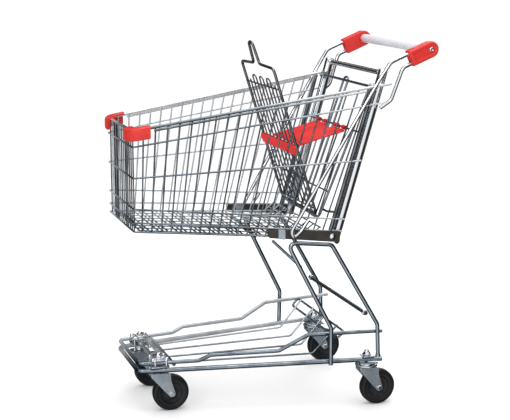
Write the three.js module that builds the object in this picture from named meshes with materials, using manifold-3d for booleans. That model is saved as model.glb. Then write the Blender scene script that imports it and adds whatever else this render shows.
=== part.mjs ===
// Nesting wire shopping cart: welded rod chassis, wire basket with a swinging rear gate,
// folding child-seat back with a plastic seat flap, push handle and four swivel casters.
// Units are millimetres, +Z is up, -Y is the front (nose), +X is the right side.
// The origin is on the floor, under the middle of the outer box.

import * as THREE from 'three';
import { mergeVertices } from 'three/addons/utils/BufferGeometryUtils.js';
import Module from 'manifold-3d';

const wasm = await Module();
wasm.setup();

// ---------------------------------------------------------------- driving dimensions

const GAP = 0.4;                      // clearance between pieces that touch or are welded
const CENTRE_SHIFT = 27.1;            // moves the working frame so that Y = 0 is the box middle

// Everything but the casters is drawn on a level base, then tipped forward and lowered on to them.
const LEAN = { angle: 0.024, drop: 8.7 };

const BASKET = {
  frontY: -407,                       // centre line of the front of the rim
  frontHalf: 141,                     // half width of the rim at the front
  taper: 0.1,                         // half width gained per millimetre towards the rear
  rimR: 4,
  rimFrontZ: 792.6,
  rimSlope: 0.1525,
  rimRearY: 288,
  cornerBend: 25,
  wire: 4.5,                          // square section of the CAD panel wires
};

const UPRIGHT = { r: 12.5, foot: [179.5, 142, 477], head: [191, 273, 938] };

const HANDLE = {
  end: [390, 989],                    // Y and Z of the grip axis
  slope: 22.3,                        // tilt of the caps, degrees
  capR: 22,
  capLength: 63.7,
  capInnerX: 212,
  capOuterX: 241,
  gripR: 12.5,
  coreR: 9.5,
  coreBoreR: 7.5,
  coreDepth: 12,                      // how far the core tube runs into each cap
  rodR: 5,
  rodX: 226,
  rodUp: 13,                          // places of the two rods in the cap's cut face
  rodDown: -14.5,
};

const GATE = {
  pivot: [243, 889],                  // Y and Z of the upper cross wire, the gate's axis
  foot: [115, 529],                   // Y and Z of the lower cross wire
  r: 3.4,
  axleR: 3.8,
  topHalf: 168,
  footHalf: 128,
  axleHalf: 180.5,
  seatZ: 770,                         // level of the cross wire that carries the seat flap
  seatHalf: 183,
  seatR: 2.9,
  lowZ: 600,
  lowHalf: 134,
  lowR: 2.5,
  hairpinHalf: 15,
  hairpinR: 3.15,
  hairpinRise: 9,                     // how far the hairpin's head stands above the axle
  stop: { z: 549, outer: [176, 159], bend: [150, 130], tipX: 122 },
};

const SEAT = {
  lean: [-0.3, 0.954],                // direction of the seat back, Y and Z
  ahead: 6,                           // the seat back's plane lies this far ahead of its hinge
  half: 134,
  r: 4,
  footT: 13.5,                        // distances along the seat back from its hinge
  shoulderT: 433,
  loopT: 499,
  wires: [-102, -72, -44, -14, 14, 44, 72, 102],
  rows: [32, 120, 212.5, 376],
  lipT: [187, 216],
  lipWidth: 278,
  shelfT: 199,                        // underside of the shelf that the flap's front edge rests on
  shelfWidth: 254,
  shelfReach: 8,                      // how far the shelf runs behind the seat back's plane
  plastic: 3,
};

const FLAP = {
  angle: 194.5,                       // degrees from straight back, so it slopes down to the front
  length: 142,
  half: 110,
  thick: 4,
  drop: 4.5,                          // how far the plate hangs below its hinge wire
  rearEdge: 4,
  corner: [6, 12],                    // cut of the rear corners
  frontCorner: [1.5, 14],
  waist: 8,
  notch: [22, 16],                    // half width and depth of the gap for the gate's hairpin
  slot: [4, 18],                      // half width and depth of the gaps for the seat back's wires
  barrelR: 6,
  boreR: 3.5,
  knuckles: [[30, 50], [84, 104]],
};

const BASE = {
  lowerZ: 136,
  lowerR: 6.5,
  upperR: 5.5,
  noseY: -397,
  noseHalf: 116,
  rearHalf: 221,
  rearY: 270,
  noseBend: 22,
};

const CASTER = {
  trail: 35,
  wheelR: 50,
  tyreHalf: 13.5,
  hubR: 37,
  hubHalf: 15,
  bossR: 12,
  dishR: 31,
  rimHalf: 11,
  webHalf: 5,
  boreR: 4.5,
  axleR: 4,
  forkInner: 16.5,
  forkThick: 2.5,
  crownZ: 106,
  crownThick: 3,
  plateThick: 4,
  plateSize: 52,
  pinR: 5,
  pinHoleR: 5.6,
};
// X and Y of the king pins, the levels of the caster plates and the radii of the ball races.
const REAR = { pin: [203, 232], plateZ: 121.5, raceR: 31 };
const FRONT = { pin: [105, -339], plateZ: 127, raceR: 13 };
const CROSS_PLATE_Z = 163;
const CLAMP_PLATE_Z = 143;
const FLAT_PLATE = 3;

// ---------------------------------------------------------------- small tools

const vec = (x, y, z) => new THREE.Vector3(x, y, z);

// Where a point of the level drawing comes to when the body is tipped on to its casters.
function tipped(y, z) {
  return vec(0, y, z).applyAxisAngle(vec(1, 0, 0), LEAN.angle).add(vec(0, 0, -LEAN.drop));
}

const flat = (x, y) => new THREE.Vector2(x, y);

function finish(color, roughness, metalness) {
  return new THREE.MeshStandardMaterial({ color, roughness, metalness });
}
const chrome = () => finish(0xc4c8cc, 0.22, 1.0);
const zinc = () => finish(0x8b9aa6, 0.42, 0.9);
const redPlastic = () => finish(0xd8322a, 0.38, 0.0);
const greyPlastic = () => finish(0xdcdce2, 0.5, 0.0);
const darkSteel = () => finish(0x3a3530, 0.55, 0.4);
const blackRubber = () => finish(0x1c1e20, 0.8, 0.0);

function part(name, geometry, material) {
  const mesh = new THREE.Mesh(geometry, material);
  mesh.name = name;
  return mesh;
}

function toSolid(geometry) {
  const bare = new THREE.BufferGeometry();
  bare.setAttribute('position', geometry.attributes.position.clone());
  if (geometry.index) {
    bare.setIndex(geometry.index.clone());
  }
  const merged = mergeVertices(bare, 1e-3);
  return new wasm.Manifold(new wasm.Mesh({
    numProp: 3,
    vertProperties: new Float32Array(merged.attributes.position.array),
    triVerts: new Uint32Array(merged.index.array),
  }));
}

function toGeometry(solid) {
  const mesh = solid.getMesh();
  const geometry = new THREE.BufferGeometry();
  geometry.setAttribute('position', new THREE.BufferAttribute(new Float32Array(mesh.vertProperties), 3));
  geometry.setIndex(Array.from(mesh.triVerts));
  geometry.computeVertexNormals();
  return geometry;
}

function join(...geometries) {
  return toGeometry(geometries.map(toSolid).reduce((sum, next) => sum.add(next)));
}

function cut(body, ...tools) {
  return toGeometry(tools.map(toSolid).reduce((rest, tool) => rest.subtract(tool), toSolid(body)));
}

// Moves a geometry so that its local x, y and z run along the given directions.
function placed(geometry, origin, xAxis, yAxis) {
  const x = xAxis.clone().normalize();
  const z = x.clone().cross(yAxis).normalize();
  const y = z.clone().cross(x);
  const matrix = new THREE.Matrix4().makeBasis(x, y, z).setPosition(origin);
  return geometry.clone().applyMatrix4(matrix);
}

// The centre line of a bent rod: straight stretches joined by round bends.
function bentLine(corners, bend, steps = 4) {
  const line = [corners[0]];
  for (let i = 1; i < corners.length - 1; i += 1) {
    const back = corners[i - 1].clone().sub(corners[i]);
    const on = corners[i + 1].clone().sub(corners[i]);
    const reach = bend / Math.tan(back.angleTo(on) / 2);
    const trim = Math.min(reach, 0.48 * back.length(), 0.48 * on.length());
    const start = corners[i].clone().addScaledVector(back.normalize(), trim);
    const end = corners[i].clone().addScaledVector(on.normalize(), trim);
    line.push(...new THREE.QuadraticBezierCurve3(start, corners[i], end).getPoints(steps));
  }
  line.push(corners[corners.length - 1]);
  return line;
}

// A curve through the given points that an extrusion follows with one ring at each point.
class RodLine extends THREE.Curve {
  constructor(points) {
    super();
    this.points = points;
  }

  getPoint(t, target = new THREE.Vector3()) {
    const place = t * (this.points.length - 1);
    const i = Math.min(Math.floor(place), this.points.length - 2);
    return target.lerpVectors(this.points[i], this.points[i + 1], place - i);
  }

  getTangent(t, target = new THREE.Vector3()) {
    const last = this.points.length - 1;
    const i = Math.round(t * last);
    const before = this.points[Math.max(i - 1, 0)];
    const here = this.points[i];
    const after = this.points[Math.min(i + 1, last)];
    const into = here.clone().sub(before).normalize();
    const out = after.clone().sub(here).normalize();
    return target.copy(into).add(out).normalize();
  }

  getPointAt(u, target) {
    return this.getPoint(u, target);
  }

  getTangentAt(u, target) {
    return this.getTangent(u, target);
  }
}

function ring(radius, sides) {
  const points = [];
  for (let i = 0; i < sides; i += 1) {
    const angle = (2 * Math.PI * (i + 0.5)) / sides;
    points.push(flat(radius * Math.cos(angle), radius * Math.sin(angle)));
  }
  return new THREE.Shape(points);
}

function rod(corners, radius, bend = 20, sides = 8, steps = 4) {
  const line = bentLine(corners, bend, steps);
  return new THREE.ExtrudeGeometry(ring(radius, sides), {
    steps: line.length - 1,
    extrudePath: new RodLine(line),
    bevelEnabled: false,
  });
}

function slab(shape, depth) {
  return new THREE.ExtrudeGeometry(shape, { depth, bevelEnabled: false, curveSegments: 6 });
}

// A flat shape drawn in Y and Z, with its thickness from x0 to x1.
function sidewise(shape, x0, x1) {
  return placed(slab(shape, x1 - x0), vec(x0, 0, 0), vec(0, 1, 0), vec(0, 0, 1));
}

function lathe(profile, sides) {
  return new THREE.LatheGeometry(profile.map(([r, z]) => flat(r, z)), sides);
}

// A turned piece whose axis runs along X.
function latheX(profile, sides) {
  return lathe(profile, sides).rotateZ(-Math.PI / 2);
}

// A turned piece whose axis runs along Z.
function latheZ(profile, sides) {
  return lathe(profile, sides).rotateX(Math.PI / 2);
}

function hole(x, y, radius, sides = 8) {
  const path = new THREE.Path();
  path.setFromPoints(ring(radius, sides).getPoints().reverse().map((p) => flat(p.x + x, p.y + y)));
  return path;
}

// ---------------------------------------------------------------- flat wire grilles

function sideOf(line, offset) {
  const along = line.b.clone().sub(line.a).normalize();
  const normal = flat(-along.y, along.x);
  return { a: line.a.clone().addScaledVector(normal, offset), along };
}

function crossing(one, other) {
  const det = one.along.x * other.along.y - one.along.y * other.along.x;
  const gap = other.a.clone().sub(one.a);
  const t = (gap.x * other.along.y - gap.y * other.along.x) / det;
  return one.a.clone().addScaledVector(one.along, t);
}

// Uprights run upwards and stand in order from left to right; rows run to the right and lie in
// order from the bottom up. A row's reach is how far it runs past the last upright on each side.
// The wires cross in one plane: every crossing and every stretch between crossings is one quad.
function grille(uprights, rows, depth) {
  const points = [];
  const quads = [];
  const keep = (point) => points.push(point) - 1;
  const corners = uprights.map((upright) => rows.map((row) => [1, -1].map((h) => [-1, 1].map((v) => keep(
    crossing(sideOf(upright, (h * upright.w) / 2), sideOf(row, (v * row.w) / 2)),
  )))));
  const at = (i, j, h, v) => corners[i][j][h][v];
  const last = uprights.length - 1;
  rows.forEach((row, j) => {
    uprights.forEach((_, i) => {
      quads.push([at(i, j, 0, 0), at(i, j, 1, 0), at(i, j, 1, 1), at(i, j, 0, 1)]);
      if (i < last) {
        quads.push([at(i, j, 1, 0), at(i + 1, j, 0, 0), at(i + 1, j, 0, 1), at(i, j, 1, 1)]);
      }
      if (j + 1 < rows.length) {
        quads.push([at(i, j, 0, 1), at(i, j, 1, 1), at(i, j + 1, 1, 0), at(i, j + 1, 0, 0)]);
      }
    });
    const end = (i, h, reach) => [0, 1].map((v) => keep(
      points[at(i, j, h, v)].clone().addScaledVector(sideOf(row, 0).along, reach),
    ));
    if (row.reachRight) {
      const [under, over] = end(last, 1, row.reachRight);
      quads.push([at(last, j, 1, 0), under, over, at(last, j, 1, 1)]);
    }
    if (row.reachLeft) {
      const [under, over] = end(0, 0, -row.reachLeft);
      quads.push([under, at(0, j, 0, 0), at(0, j, 0, 1), over]);
    }
  });
  return extrudeQuads(points, quads, depth);
}

// Quads that share corners, thickened by half the depth to each side, with walls on open edges.
function extrudeQuads(points, quads, depth) {
  const edges = new Set(quads.flatMap((quad) => quad.map((from, k) => `${from} ${quad[(k + 1) % 4]}`)));
  const above = points.length;
  const index = [];
  for (const quad of quads) {
    const [a, b, c, d] = quad;
    index.push(a + above, b + above, c + above, a + above, c + above, d + above);
    index.push(c, b, a, d, c, a);
    quad.forEach((from, k) => {
      const to = quad[(k + 1) % 4];
      if (!edges.has(`${to} ${from}`)) {
        index.push(from, to, to + above, from, to + above, from + above);
      }
    });
  }
  const levels = [-depth / 2, depth / 2].flatMap((z) => points.flatMap((p) => [p.x, p.y, z]));
  const geometry = new THREE.BufferGeometry();
  geometry.setAttribute('position', new THREE.Float32BufferAttribute(levels, 3));
  geometry.setIndex(index);
  geometry.computeVertexNormals();
  return geometry;
}

function wireLine(x0, y0, x1, y1, w = BASKET.wire) {
  return { a: flat(x0, y0), b: flat(x1, y1), w };
}

// ---------------------------------------------------------------- basket

const sideHalf = (y) => BASKET.frontHalf + BASKET.taper * (y - BASKET.frontY);
const rimZ = (y) => BASKET.rimFrontZ + BASKET.rimSlope * (y - BASKET.frontY);
const yaw = Math.atan(BASKET.taper);

// Side panels are drawn in (y, z) and turned to the basket's taper. The stretch of the drawing
// along the panel is longer than along Y by 1 / cos(yaw).
const along = (y) => (y - BASKET.frontY) / Math.cos(yaw);

function onSide(geometry, side) {
  const origin = vec(side * BASKET.frontHalf, BASKET.frontY, 0);
  return placed(geometry, origin, vec(side * Math.sin(yaw), Math.cos(yaw), 0), vec(0, 0, 1));
}

function basketRim() {
  const rearY = BASKET.rimRearY;
  const half = [1, -1].map((side) => [
    vec(side * sideHalf(rearY), rearY, rimZ(rearY)),
    vec(side * BASKET.frontHalf, BASKET.frontY, rimZ(BASKET.frontY)),
  ]);
  return rod([half[0][0], half[0][1], half[1][1], half[1][0]], BASKET.rimR, BASKET.cornerBend);
}

const PANEL = {
  footSlope: -0.0874,
  uprights: 8,
  footY: [-391, 118],
  headY: [-391, 238],
  endRod: 10,
};
const panelFootZ = (y) => 528 + PANEL.footSlope * (y + 400);

function sidePanel(side) {
  const uprights = [];
  for (let i = 0; i < PANEL.uprights; i += 1) {
    const t = i / (PANEL.uprights - 1);
    const footY = THREE.MathUtils.lerp(...PANEL.footY, t);
    const headY = THREE.MathUtils.lerp(...PANEL.headY, t);
    const w = i === PANEL.uprights - 1 ? PANEL.endRod : BASKET.wire;
    uprights.push(wireLine(along(footY), panelFootZ(footY), along(headY), rimZ(headY) - 8, w));
  }
  // Height at the front and at the rear pair of measures, then the run past the end rod.
  const rows = [
    [528, 483.3, 0],
    [552, 506, 22],
    [588.5, 539.5, 22],
    [669.5, 690.2, 22],
    [751, 826, 42],
  ].map(([front, rear, reach]) => ({
    ...wireLine(along(-400), front, along(112), rear),
    reachRight: reach,
  }));
  rows.push(wireLine(along(-400), rimZ(-400) - 8, along(112), rimZ(112) - 8));
  return onSide(grille(uprights, rows, BASKET.wire), side);
}

function frontPanel() {
  const y = BASKET.frontY + 2;
  const thick = 7;
  const places = [-131, -95, -60, -20, 20, 60, 95, 131];
  const uprights = places.map((x) => wireLine(x, 530, x, 785, Math.abs(x) === 60 ? thick : BASKET.wire));
  const rows = [530, 552, 588.5, 669.5, 751, 785].map((z) => wireLine(-131, z, 131, z));
  return placed(grille(uprights, rows, BASKET.wire), vec(0, y, 0), vec(1, 0, 0), vec(0, 0, 1));
}

const FLOOR = { frontY: -398, bendY: 62, lipY: 96, lipZ: 514, drop: 1, wires: 6, rows: 7 };

// The floor mat runs down to the rear and then turns up into a short ramp under the gate.
function floorMat() {
  const clear = BASKET.wire / 2 + GAP + BASKET.wire / 2;
  const floorZ = (y) => panelFootZ(y) - FLOOR.drop;
  const section = (y0, z0, y1, z1, rowCount) => {
    const run = Math.hypot(y1 - y0, z1 - z0);
    const half = [sideHalf(y0) - clear, sideHalf(y1) - clear];
    const uprights = [];
    for (let i = 0; i < FLOOR.wires; i += 1) {
      const t = (2 * i) / (FLOOR.wires - 1) - 1;
      uprights.push(wireLine(t * half[0], 0, t * half[1], run));
    }
    const rows = [];
    for (let j = 0; j < rowCount; j += 1) {
      const s = (run * j) / (rowCount - 1);
      rows.push(wireLine(-half[0], s, half[0], s));
    }
    const mat = grille(uprights, rows, BASKET.wire);
    return placed(mat, vec(0, y0, z0), vec(1, 0, 0), vec(0, y1 - y0, z1 - z0));
  };
  const bendZ = floorZ(FLOOR.bendY);
  const main = section(FLOOR.frontY, floorZ(FLOOR.frontY), FLOOR.bendY, bendZ, FLOOR.rows);
  const ramp = section(FLOOR.bendY, bendZ, FLOOR.lipY, FLOOR.lipZ, 2);
  return join(main, ramp);
}

const BUMPER = { wall: [4.8, 16], cover: [-9, 16], z: [776, 808], coverZ: 803.6, endX: 100, endY: -364 };

// A band that follows the rim round its front corner, between two offsets from the rim's line.
function bumperBand(side, [inner, outer]) {
  const corner = (o) => {
    const y = BASKET.frontY - o;
    return flat(sideHalf(y) + o / Math.cos(yaw), y);
  };
  const edge = (o) => {
    const bend = BASKET.cornerBend + o;
    const turn = corner(o);
    return {
      nose: flat(BUMPER.endX, turn.y),
      from: flat(turn.x - bend, turn.y),
      turn,
      to: flat(turn.x + BASKET.taper * bend, turn.y + bend),
      tail: flat(sideHalf(BUMPER.endY) + o / Math.cos(yaw), BUMPER.endY),
    };
  };
  const out = edge(outer);
  const into = edge(inner);
  const shape = new THREE.Shape();
  shape.moveTo(side * out.nose.x, out.nose.y);
  shape.lineTo(side * out.from.x, out.from.y);
  shape.quadraticCurveTo(side * out.turn.x, out.turn.y, side * out.to.x, out.to.y);
  shape.lineTo(side * out.tail.x, out.tail.y);
  shape.lineTo(side * into.tail.x, into.tail.y);
  shape.lineTo(side * into.to.x, into.to.y);
  shape.quadraticCurveTo(side * into.turn.x, into.turn.y, side * into.from.x, into.from.y);
  shape.lineTo(side * into.nose.x, into.nose.y);
  return shape;
}

function cornerBumper(side) {
  const [low, high] = BUMPER.z;
  const wall = slab(bumperBand(side, BUMPER.wall), high - low).translate(0, 0, low);
  const cover = slab(bumperBand(side, BUMPER.cover), high - BUMPER.coverZ).translate(0, 0, BUMPER.coverZ);
  return join(wall, cover);
}

// ---------------------------------------------------------------- uprights and handle

// Tube with the gate's ear, the gate's stop rod and the head of the stretcher bolt fixed to it.
function upright(side) {
  const [fx, fy, fz] = UPRIGHT.foot;
  const [hx, hy, hz] = UPRIGHT.head;
  const tube = rod([vec(side * fx, fy, fz), vec(side * hx, hy, hz)], UPRIGHT.r, 0, 14);
  return join(tube, gateLug(side), gateStop(side), stretcherBolt(side));
}

function uprightAt(z) {
  const t = (z - UPRIGHT.foot[2]) / (UPRIGHT.head[2] - UPRIGHT.foot[2]);
  return {
    x: THREE.MathUtils.lerp(UPRIGHT.foot[0], UPRIGHT.head[0], t),
    y: THREE.MathUtils.lerp(UPRIGHT.foot[1], UPRIGHT.head[1], t),
  };
}

const STRETCHER = { z: 926, r: 7 };

// The bar between the tops of the uprights, stopping just short of each tube.
function stretcherBar() {
  const at = uprightAt(STRETCHER.z);
  const half = at.x - UPRIGHT.r - GAP;
  return rod([vec(-half, at.y, STRETCHER.z), vec(half, at.y, STRETCHER.z)], STRETCHER.r, 0, 10);
}

const capAxis = THREE.MathUtils.degToRad(HANDLE.slope);

// A point in the cap's side plane: s along the cap from the grip axis, h across it.
function capPoint(x, s, h) {
  const [y, z] = HANDLE.end;
  return vec(
    x,
    y + s * Math.cos(capAxis) - h * Math.sin(capAxis),
    z + s * Math.sin(capAxis) + h * Math.cos(capAxis),
  );
}

const ROD_DEPTH = 18;

function handleCap(side) {
  const r = HANDLE.capR;
  const shape = new THREE.Shape();
  shape.moveTo(-HANDLE.capLength, -r + 0.5);
  shape.lineTo(0, -r);
  shape.absarc(0, 0, r, -Math.PI / 2, Math.PI / 2, false);
  shape.lineTo(-HANDLE.capLength, r - 0.5);
  const depth = HANDLE.capOuterX - HANDLE.capInnerX;
  const [y, z] = HANDLE.end;
  const start = side > 0 ? HANDLE.capInnerX : -HANDLE.capOuterX;
  const slope = vec(0, Math.cos(capAxis), Math.sin(capAxis));
  const up = vec(0, -Math.sin(capAxis), Math.cos(capAxis));
  const body = placed(slab(shape, depth), vec(start, y, z), slope, up);
  const sockets = [HANDLE.rodUp, HANDLE.rodDown].map((h) => rod([
    capPoint(side * HANDLE.rodX, -HANDLE.capLength - 5, h),
    capPoint(side * HANDLE.rodX, -HANDLE.capLength + ROD_DEPTH + GAP, h),
  ], HANDLE.rodR + GAP, 0));
  const bore = rod([
    capPoint(side * (HANDLE.capInnerX - 5), 0, 0),
    capPoint(side * (HANDLE.capInnerX + 12 + GAP), 0, 0),
  ], HANDLE.coreR + GAP, 0, 14);
  return cut(join(body, capScrew(side)), ...sockets, bore);
}

function upperHandleRod(side) {
  const x = HANDLE.rodX;
  const points = [
    capPoint(x, -HANDLE.capLength + ROD_DEPTH, HANDLE.rodUp),
    capPoint(x, -117, HANDLE.rodUp),
    vec(222, 246, 909.5),
    vec(203.5, 7, 511),
    vec(203.5, 14, 493),
    vec(203.5, 35, 511),
    vec(203.5, 56, 541),
  ];
  return rod(points.map((p) => vec(side * p.x, p.y, p.z)), HANDLE.rodR, 30);
}

function lowerHandleRod(side) {
  const x = HANDLE.rodX;
  const points = [
    capPoint(x, -HANDLE.capLength + ROD_DEPTH, HANDLE.rodDown),
    capPoint(x, -90, HANDLE.rodDown),
    vec(218.5, 283, 855),
    vec(216.5, 257, 836),
  ];
  return rod(points.map((p) => vec(side * p.x, p.y, p.z)), HANDLE.rodR, 24);
}

function tubeX(half, outer, inner, sides) {
  const profile = [[inner, -half], [outer, -half], [outer, half], [inner, half], [inner, -half]];
  const [y, z] = HANDLE.end;
  return latheX(profile, sides).translate(0, y, z);
}

function gripSleeve() {
  return tubeX(HANDLE.capInnerX - GAP, HANDLE.gripR, HANDLE.coreR + GAP, 16);
}

function gripCore() {
  return tubeX(HANDLE.capInnerX + HANDLE.coreDepth, HANDLE.coreR, HANDLE.coreBoreR, 12);
}

function capScrew(side) {
  const profile = [[0, -1], [6, -1], [6, 0.6], [5, 2], [0, 2.6]];
  const [y, z] = HANDLE.end;
  const turned = latheX(profile, 10);
  if (side < 0) {
    turned.rotateZ(Math.PI);
  }
  return turned.translate(side * HANDLE.capOuterX, y, z);
}

// ---------------------------------------------------------------- rear gate and its fittings

const gateY = (z) => GATE.pivot[0] + ((GATE.foot[0] - GATE.pivot[0]) * (z - GATE.pivot[1]))
  / (GATE.foot[1] - GATE.pivot[1]);

const gatePoint = (x, z) => vec(x, gateY(z), z);

function rearGate() {
  const [pivotZ, footZ] = [GATE.pivot[1], GATE.foot[1]];
  const frame = rod([
    gatePoint(GATE.topHalf, pivotZ),
    gatePoint(GATE.footHalf, footZ),
    gatePoint(-GATE.footHalf, footZ),
    gatePoint(-GATE.topHalf, pivotZ),
  ], GATE.r, 18);
  const pin = GATE.hairpinHalf;
  const headZ = pivotZ + GATE.hairpinRise;
  const crossWire = (half, z, r) => rod([gatePoint(-half, z), gatePoint(half, z)], r, 0);
  const hairpin = rod([
    gatePoint(pin, footZ),
    gatePoint(pin, headZ),
    gatePoint(-pin, headZ),
    gatePoint(-pin, footZ),
  ], GATE.hairpinR, 12);
  return join(
    frame,
    crossWire(GATE.axleHalf, pivotZ, GATE.axleR),
    hairpin,
    crossWire(GATE.seatHalf, GATE.seatZ, GATE.seatR),
    crossWire(GATE.lowHalf, GATE.lowZ, GATE.lowR),
  );
}

const LUG = { x: [174.5, 180], holeR: 4.4 };

// Ears on the inner sides of the uprights that carry the gate's axle.
function gateLug(side) {
  const [y, z] = GATE.pivot;
  const shape = new THREE.Shape([
    flat(y - 9, z - 8), flat(y + 14, z - 14), flat(y + 20, z + 10), flat(y - 5, z + 9),
  ]);
  shape.holes.push(hole(y, z, LUG.holeR));
  const [inner, outer] = LUG.x;
  return sidewise(shape, side > 0 ? inner : -outer, side > 0 ? outer : -inner);
}

// Bent rods on the uprights that stop the gate from swinging out to the rear.
function gateStop(side) {
  const { z, outer, bend, tipX } = GATE.stop;
  return rod([
    vec(side * outer[0], outer[1], z),
    vec(side * bend[0], bend[1], z),
    vec(side * tipX, bend[1], z),
  ], GATE.r, 8, 8, 2);
}

// ---------------------------------------------------------------- child seat

const seatUp = vec(0, ...SEAT.lean).normalize();
const seatForward = vec(1, 0, 0).cross(seatUp);
const seatHinge = vec(0, ...GATE.foot);

// Drawn flat, x to the side and y up along the seat back, level with the hinge axis at y = 0.
function onSeatBack(geometry) {
  const origin = seatHinge.clone().addScaledVector(seatForward, SEAT.ahead);
  return placed(geometry, origin, vec(1, 0, 0), seatUp);
}

const seatPoint = (x, t) => vec(x, t, 0);

// One rod bent round the whole seat back; its ends meet in a butt joint at the foot.
function seatFrame() {
  const right = [
    seatPoint(15, SEAT.loopT),
    seatPoint(24, SEAT.shoulderT + 4),
    seatPoint(SEAT.half, SEAT.shoulderT),
    seatPoint(SEAT.half, SEAT.footT),
    seatPoint(GAP / 2, SEAT.footT),
  ];
  const left = right.map((p) => vec(-p.x, p.y, p.z)).reverse();
  return onSeatBack(rod([...left, ...right], SEAT.r, 14));
}

function seatGrille() {
  const top = SEAT.rows[SEAT.rows.length - 1];
  const uprights = SEAT.wires.map((x) => wireLine(x, SEAT.rows[0], x, top));
  const outer = SEAT.wires[SEAT.wires.length - 1];
  const reach = SEAT.half - SEAT.r - GAP - outer - BASKET.wire / 2;
  const reaches = { reachLeft: reach, reachRight: reach };
  const rows = SEAT.rows.map((t) => ({ ...wireLine(-outer, t, outer, t), ...reaches }));
  return onSeatBack(grille(uprights, rows, BASKET.wire));
}

// Front strip with a narrow shelf behind it; the shelf is slotted round the upright wires.
function seatLip() {
  const { lipT: [low, high], lipWidth, shelfT, shelfWidth, shelfReach, plastic } = SEAT;
  const front = SEAT.r + GAP;
  const back = -shelfReach - plastic / 2 - 0.5;
  const slotSize = BASKET.wire + 1.9;
  const strip = new THREE.BoxGeometry(lipWidth, high - low, plastic)
    .translate(0, (low + high) / 2, front + plastic / 2);
  const shelf = new THREE.BoxGeometry(shelfWidth, plastic, front + plastic / 2 - back)
    .translate(0, shelfT + plastic / 2, (front + plastic / 2 + back) / 2);
  const slots = SEAT.wires.map((x) => (
    new THREE.BoxGeometry(slotSize, 20, slotSize).translate(x, shelfT, 0)
  ));
  return onSeatBack(cut(join(strip, shelf), ...slots));
}

const CLIP_X = 90;

// A strap from the gate's foot wire, the hinge, to the foot of the seat back's frame.
function seatClip(x) {
  const r = 6.4;
  const link = seatUp.clone().multiplyScalar(SEAT.footT).addScaledVector(seatForward, SEAT.ahead);
  const t = link.length();
  const shape = new THREE.Shape();
  shape.moveTo(r, 0);
  shape.lineTo(r, t);
  shape.absarc(0, t, r, 0, Math.PI, false);
  shape.lineTo(-r, 0);
  shape.absarc(0, 0, r, Math.PI, 2 * Math.PI, false);
  shape.holes.push(hole(0, 0, GATE.r + 0.6), hole(0, t, SEAT.r + 0.4));
  const clip = slab(shape, 14).translate(0, 0, -7);
  return placed(clip, seatHinge.clone().setX(x), link.clone().cross(vec(1, 0, 0)), link);
}

// The flap is drawn in (x, forward) at its hinge, then turned to its resting slope.
function seatFlap() {
  const { length, half, thick, drop, rearEdge, waist, barrelR, boreR } = FLAP;
  const [notch, notchDepth] = FLAP.notch;
  const [slot, slotDepth] = FLAP.slot;
  const [cornerX, cornerY] = FLAP.corner;
  const [frontX, frontY] = FLAP.frontCorner;
  const turn = THREE.MathUtils.degToRad(FLAP.angle);
  const forward = vec(0, Math.cos(turn), Math.sin(turn));
  const hinge = gatePoint(0, GATE.seatZ);
  const shape = new THREE.Shape();
  shape.moveTo(-notch, rearEdge);
  shape.lineTo(-notch, notchDepth);
  shape.lineTo(notch, notchDepth);
  shape.lineTo(notch, rearEdge);
  shape.lineTo(half - cornerX, rearEdge);
  shape.lineTo(half, cornerY);
  shape.quadraticCurveTo(half - waist, length / 2, half, length - frontY);
  shape.lineTo(half - frontX, length);
  for (const x of [...SEAT.wires].reverse()) {
    shape.lineTo(x + slot, length);
    shape.lineTo(x + slot, length - slotDepth);
    shape.lineTo(x - slot, length - slotDepth);
    shape.lineTo(x - slot, length);
  }
  shape.lineTo(-half + frontX, length);
  shape.lineTo(-half, length - frontY);
  shape.quadraticCurveTo(-half + waist, length / 2, -half, cornerY);
  shape.lineTo(-half + cornerX, rearEdge);
  const plate = slab(shape, thick).translate(0, 0, drop);
  const knuckle = (x0, x1) => {
    const eye = ring(barrelR, 10);
    eye.holes.push(hole(0, 0, boreR));
    const eyeBody = placed(slab(eye, x1 - x0), vec(x0, 0, 0), vec(0, 1, 0), vec(0, 0, 1));
    const web = new THREE.BoxGeometry(x1 - x0, barrelR, 2.6)
      .translate((x0 + x1) / 2, barrelR + 0.2, drop + 0.2);
    return join(eyeBody, web);
  };
  const knuckles = FLAP.knuckles.flatMap(([x0, x1]) => [knuckle(x0, x1), knuckle(-x1, -x0)]);
  // Local z points down at rest, so the plate hangs below the hinge wire.
  return placed(join(plate, ...knuckles), hinge, vec(1, 0, 0), forward);
}

// ---------------------------------------------------------------- side rails and legs

const RAIL = {
  inset: BASKET.wire / 2 + 0.3,
  thick: 10,
  startY: -52,
  endY: 147,
  boltY: 126,
  boltZ: 491,
  boltR: 4,
  boltGap: 0.5,
  earY: [132, 134, 140],              // the ear that hangs down round the bolt at the rear end
  earZ: [472, 466, 473, 500],
};
const railTop = (y) => 516.5 - 0.0605 * (y + 48);
const railFoot = (y) => 494.6 - 0.1095 * (y + 48);

function sideRail(side) {
  const { startY, endY, boltY, boltZ, boltR, boltGap, earY, earZ } = RAIL;
  const shape = new THREE.Shape();
  shape.moveTo(along(startY), railFoot(startY) + 4);
  shape.lineTo(along(startY + 4), railFoot(startY + 4));
  shape.lineTo(along(earY[0]), railFoot(earY[0]));
  shape.lineTo(along(earY[1]), earZ[0]);
  shape.quadraticCurveTo(along(earY[2]), earZ[1], along(endY - 1), earZ[2]);
  shape.lineTo(along(endY), earZ[3]);
  shape.quadraticCurveTo(along(endY - 1), railTop(endY), along(endY - 8), railTop(endY));
  shape.lineTo(along(startY), railTop(startY));
  shape.holes.push(hole(along(boltY), boltZ, boltR + boltGap));
  const depth = RAIL.thick;
  const offset = side > 0 ? RAIL.inset : -RAIL.inset - depth;
  return onSide(slab(shape, depth).translate(0, 0, offset), side);
}

const LEG = { r: 6, braceR: 4, bar: { half: 214, place: [223.4, 268], r: 5.5 } };

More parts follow.
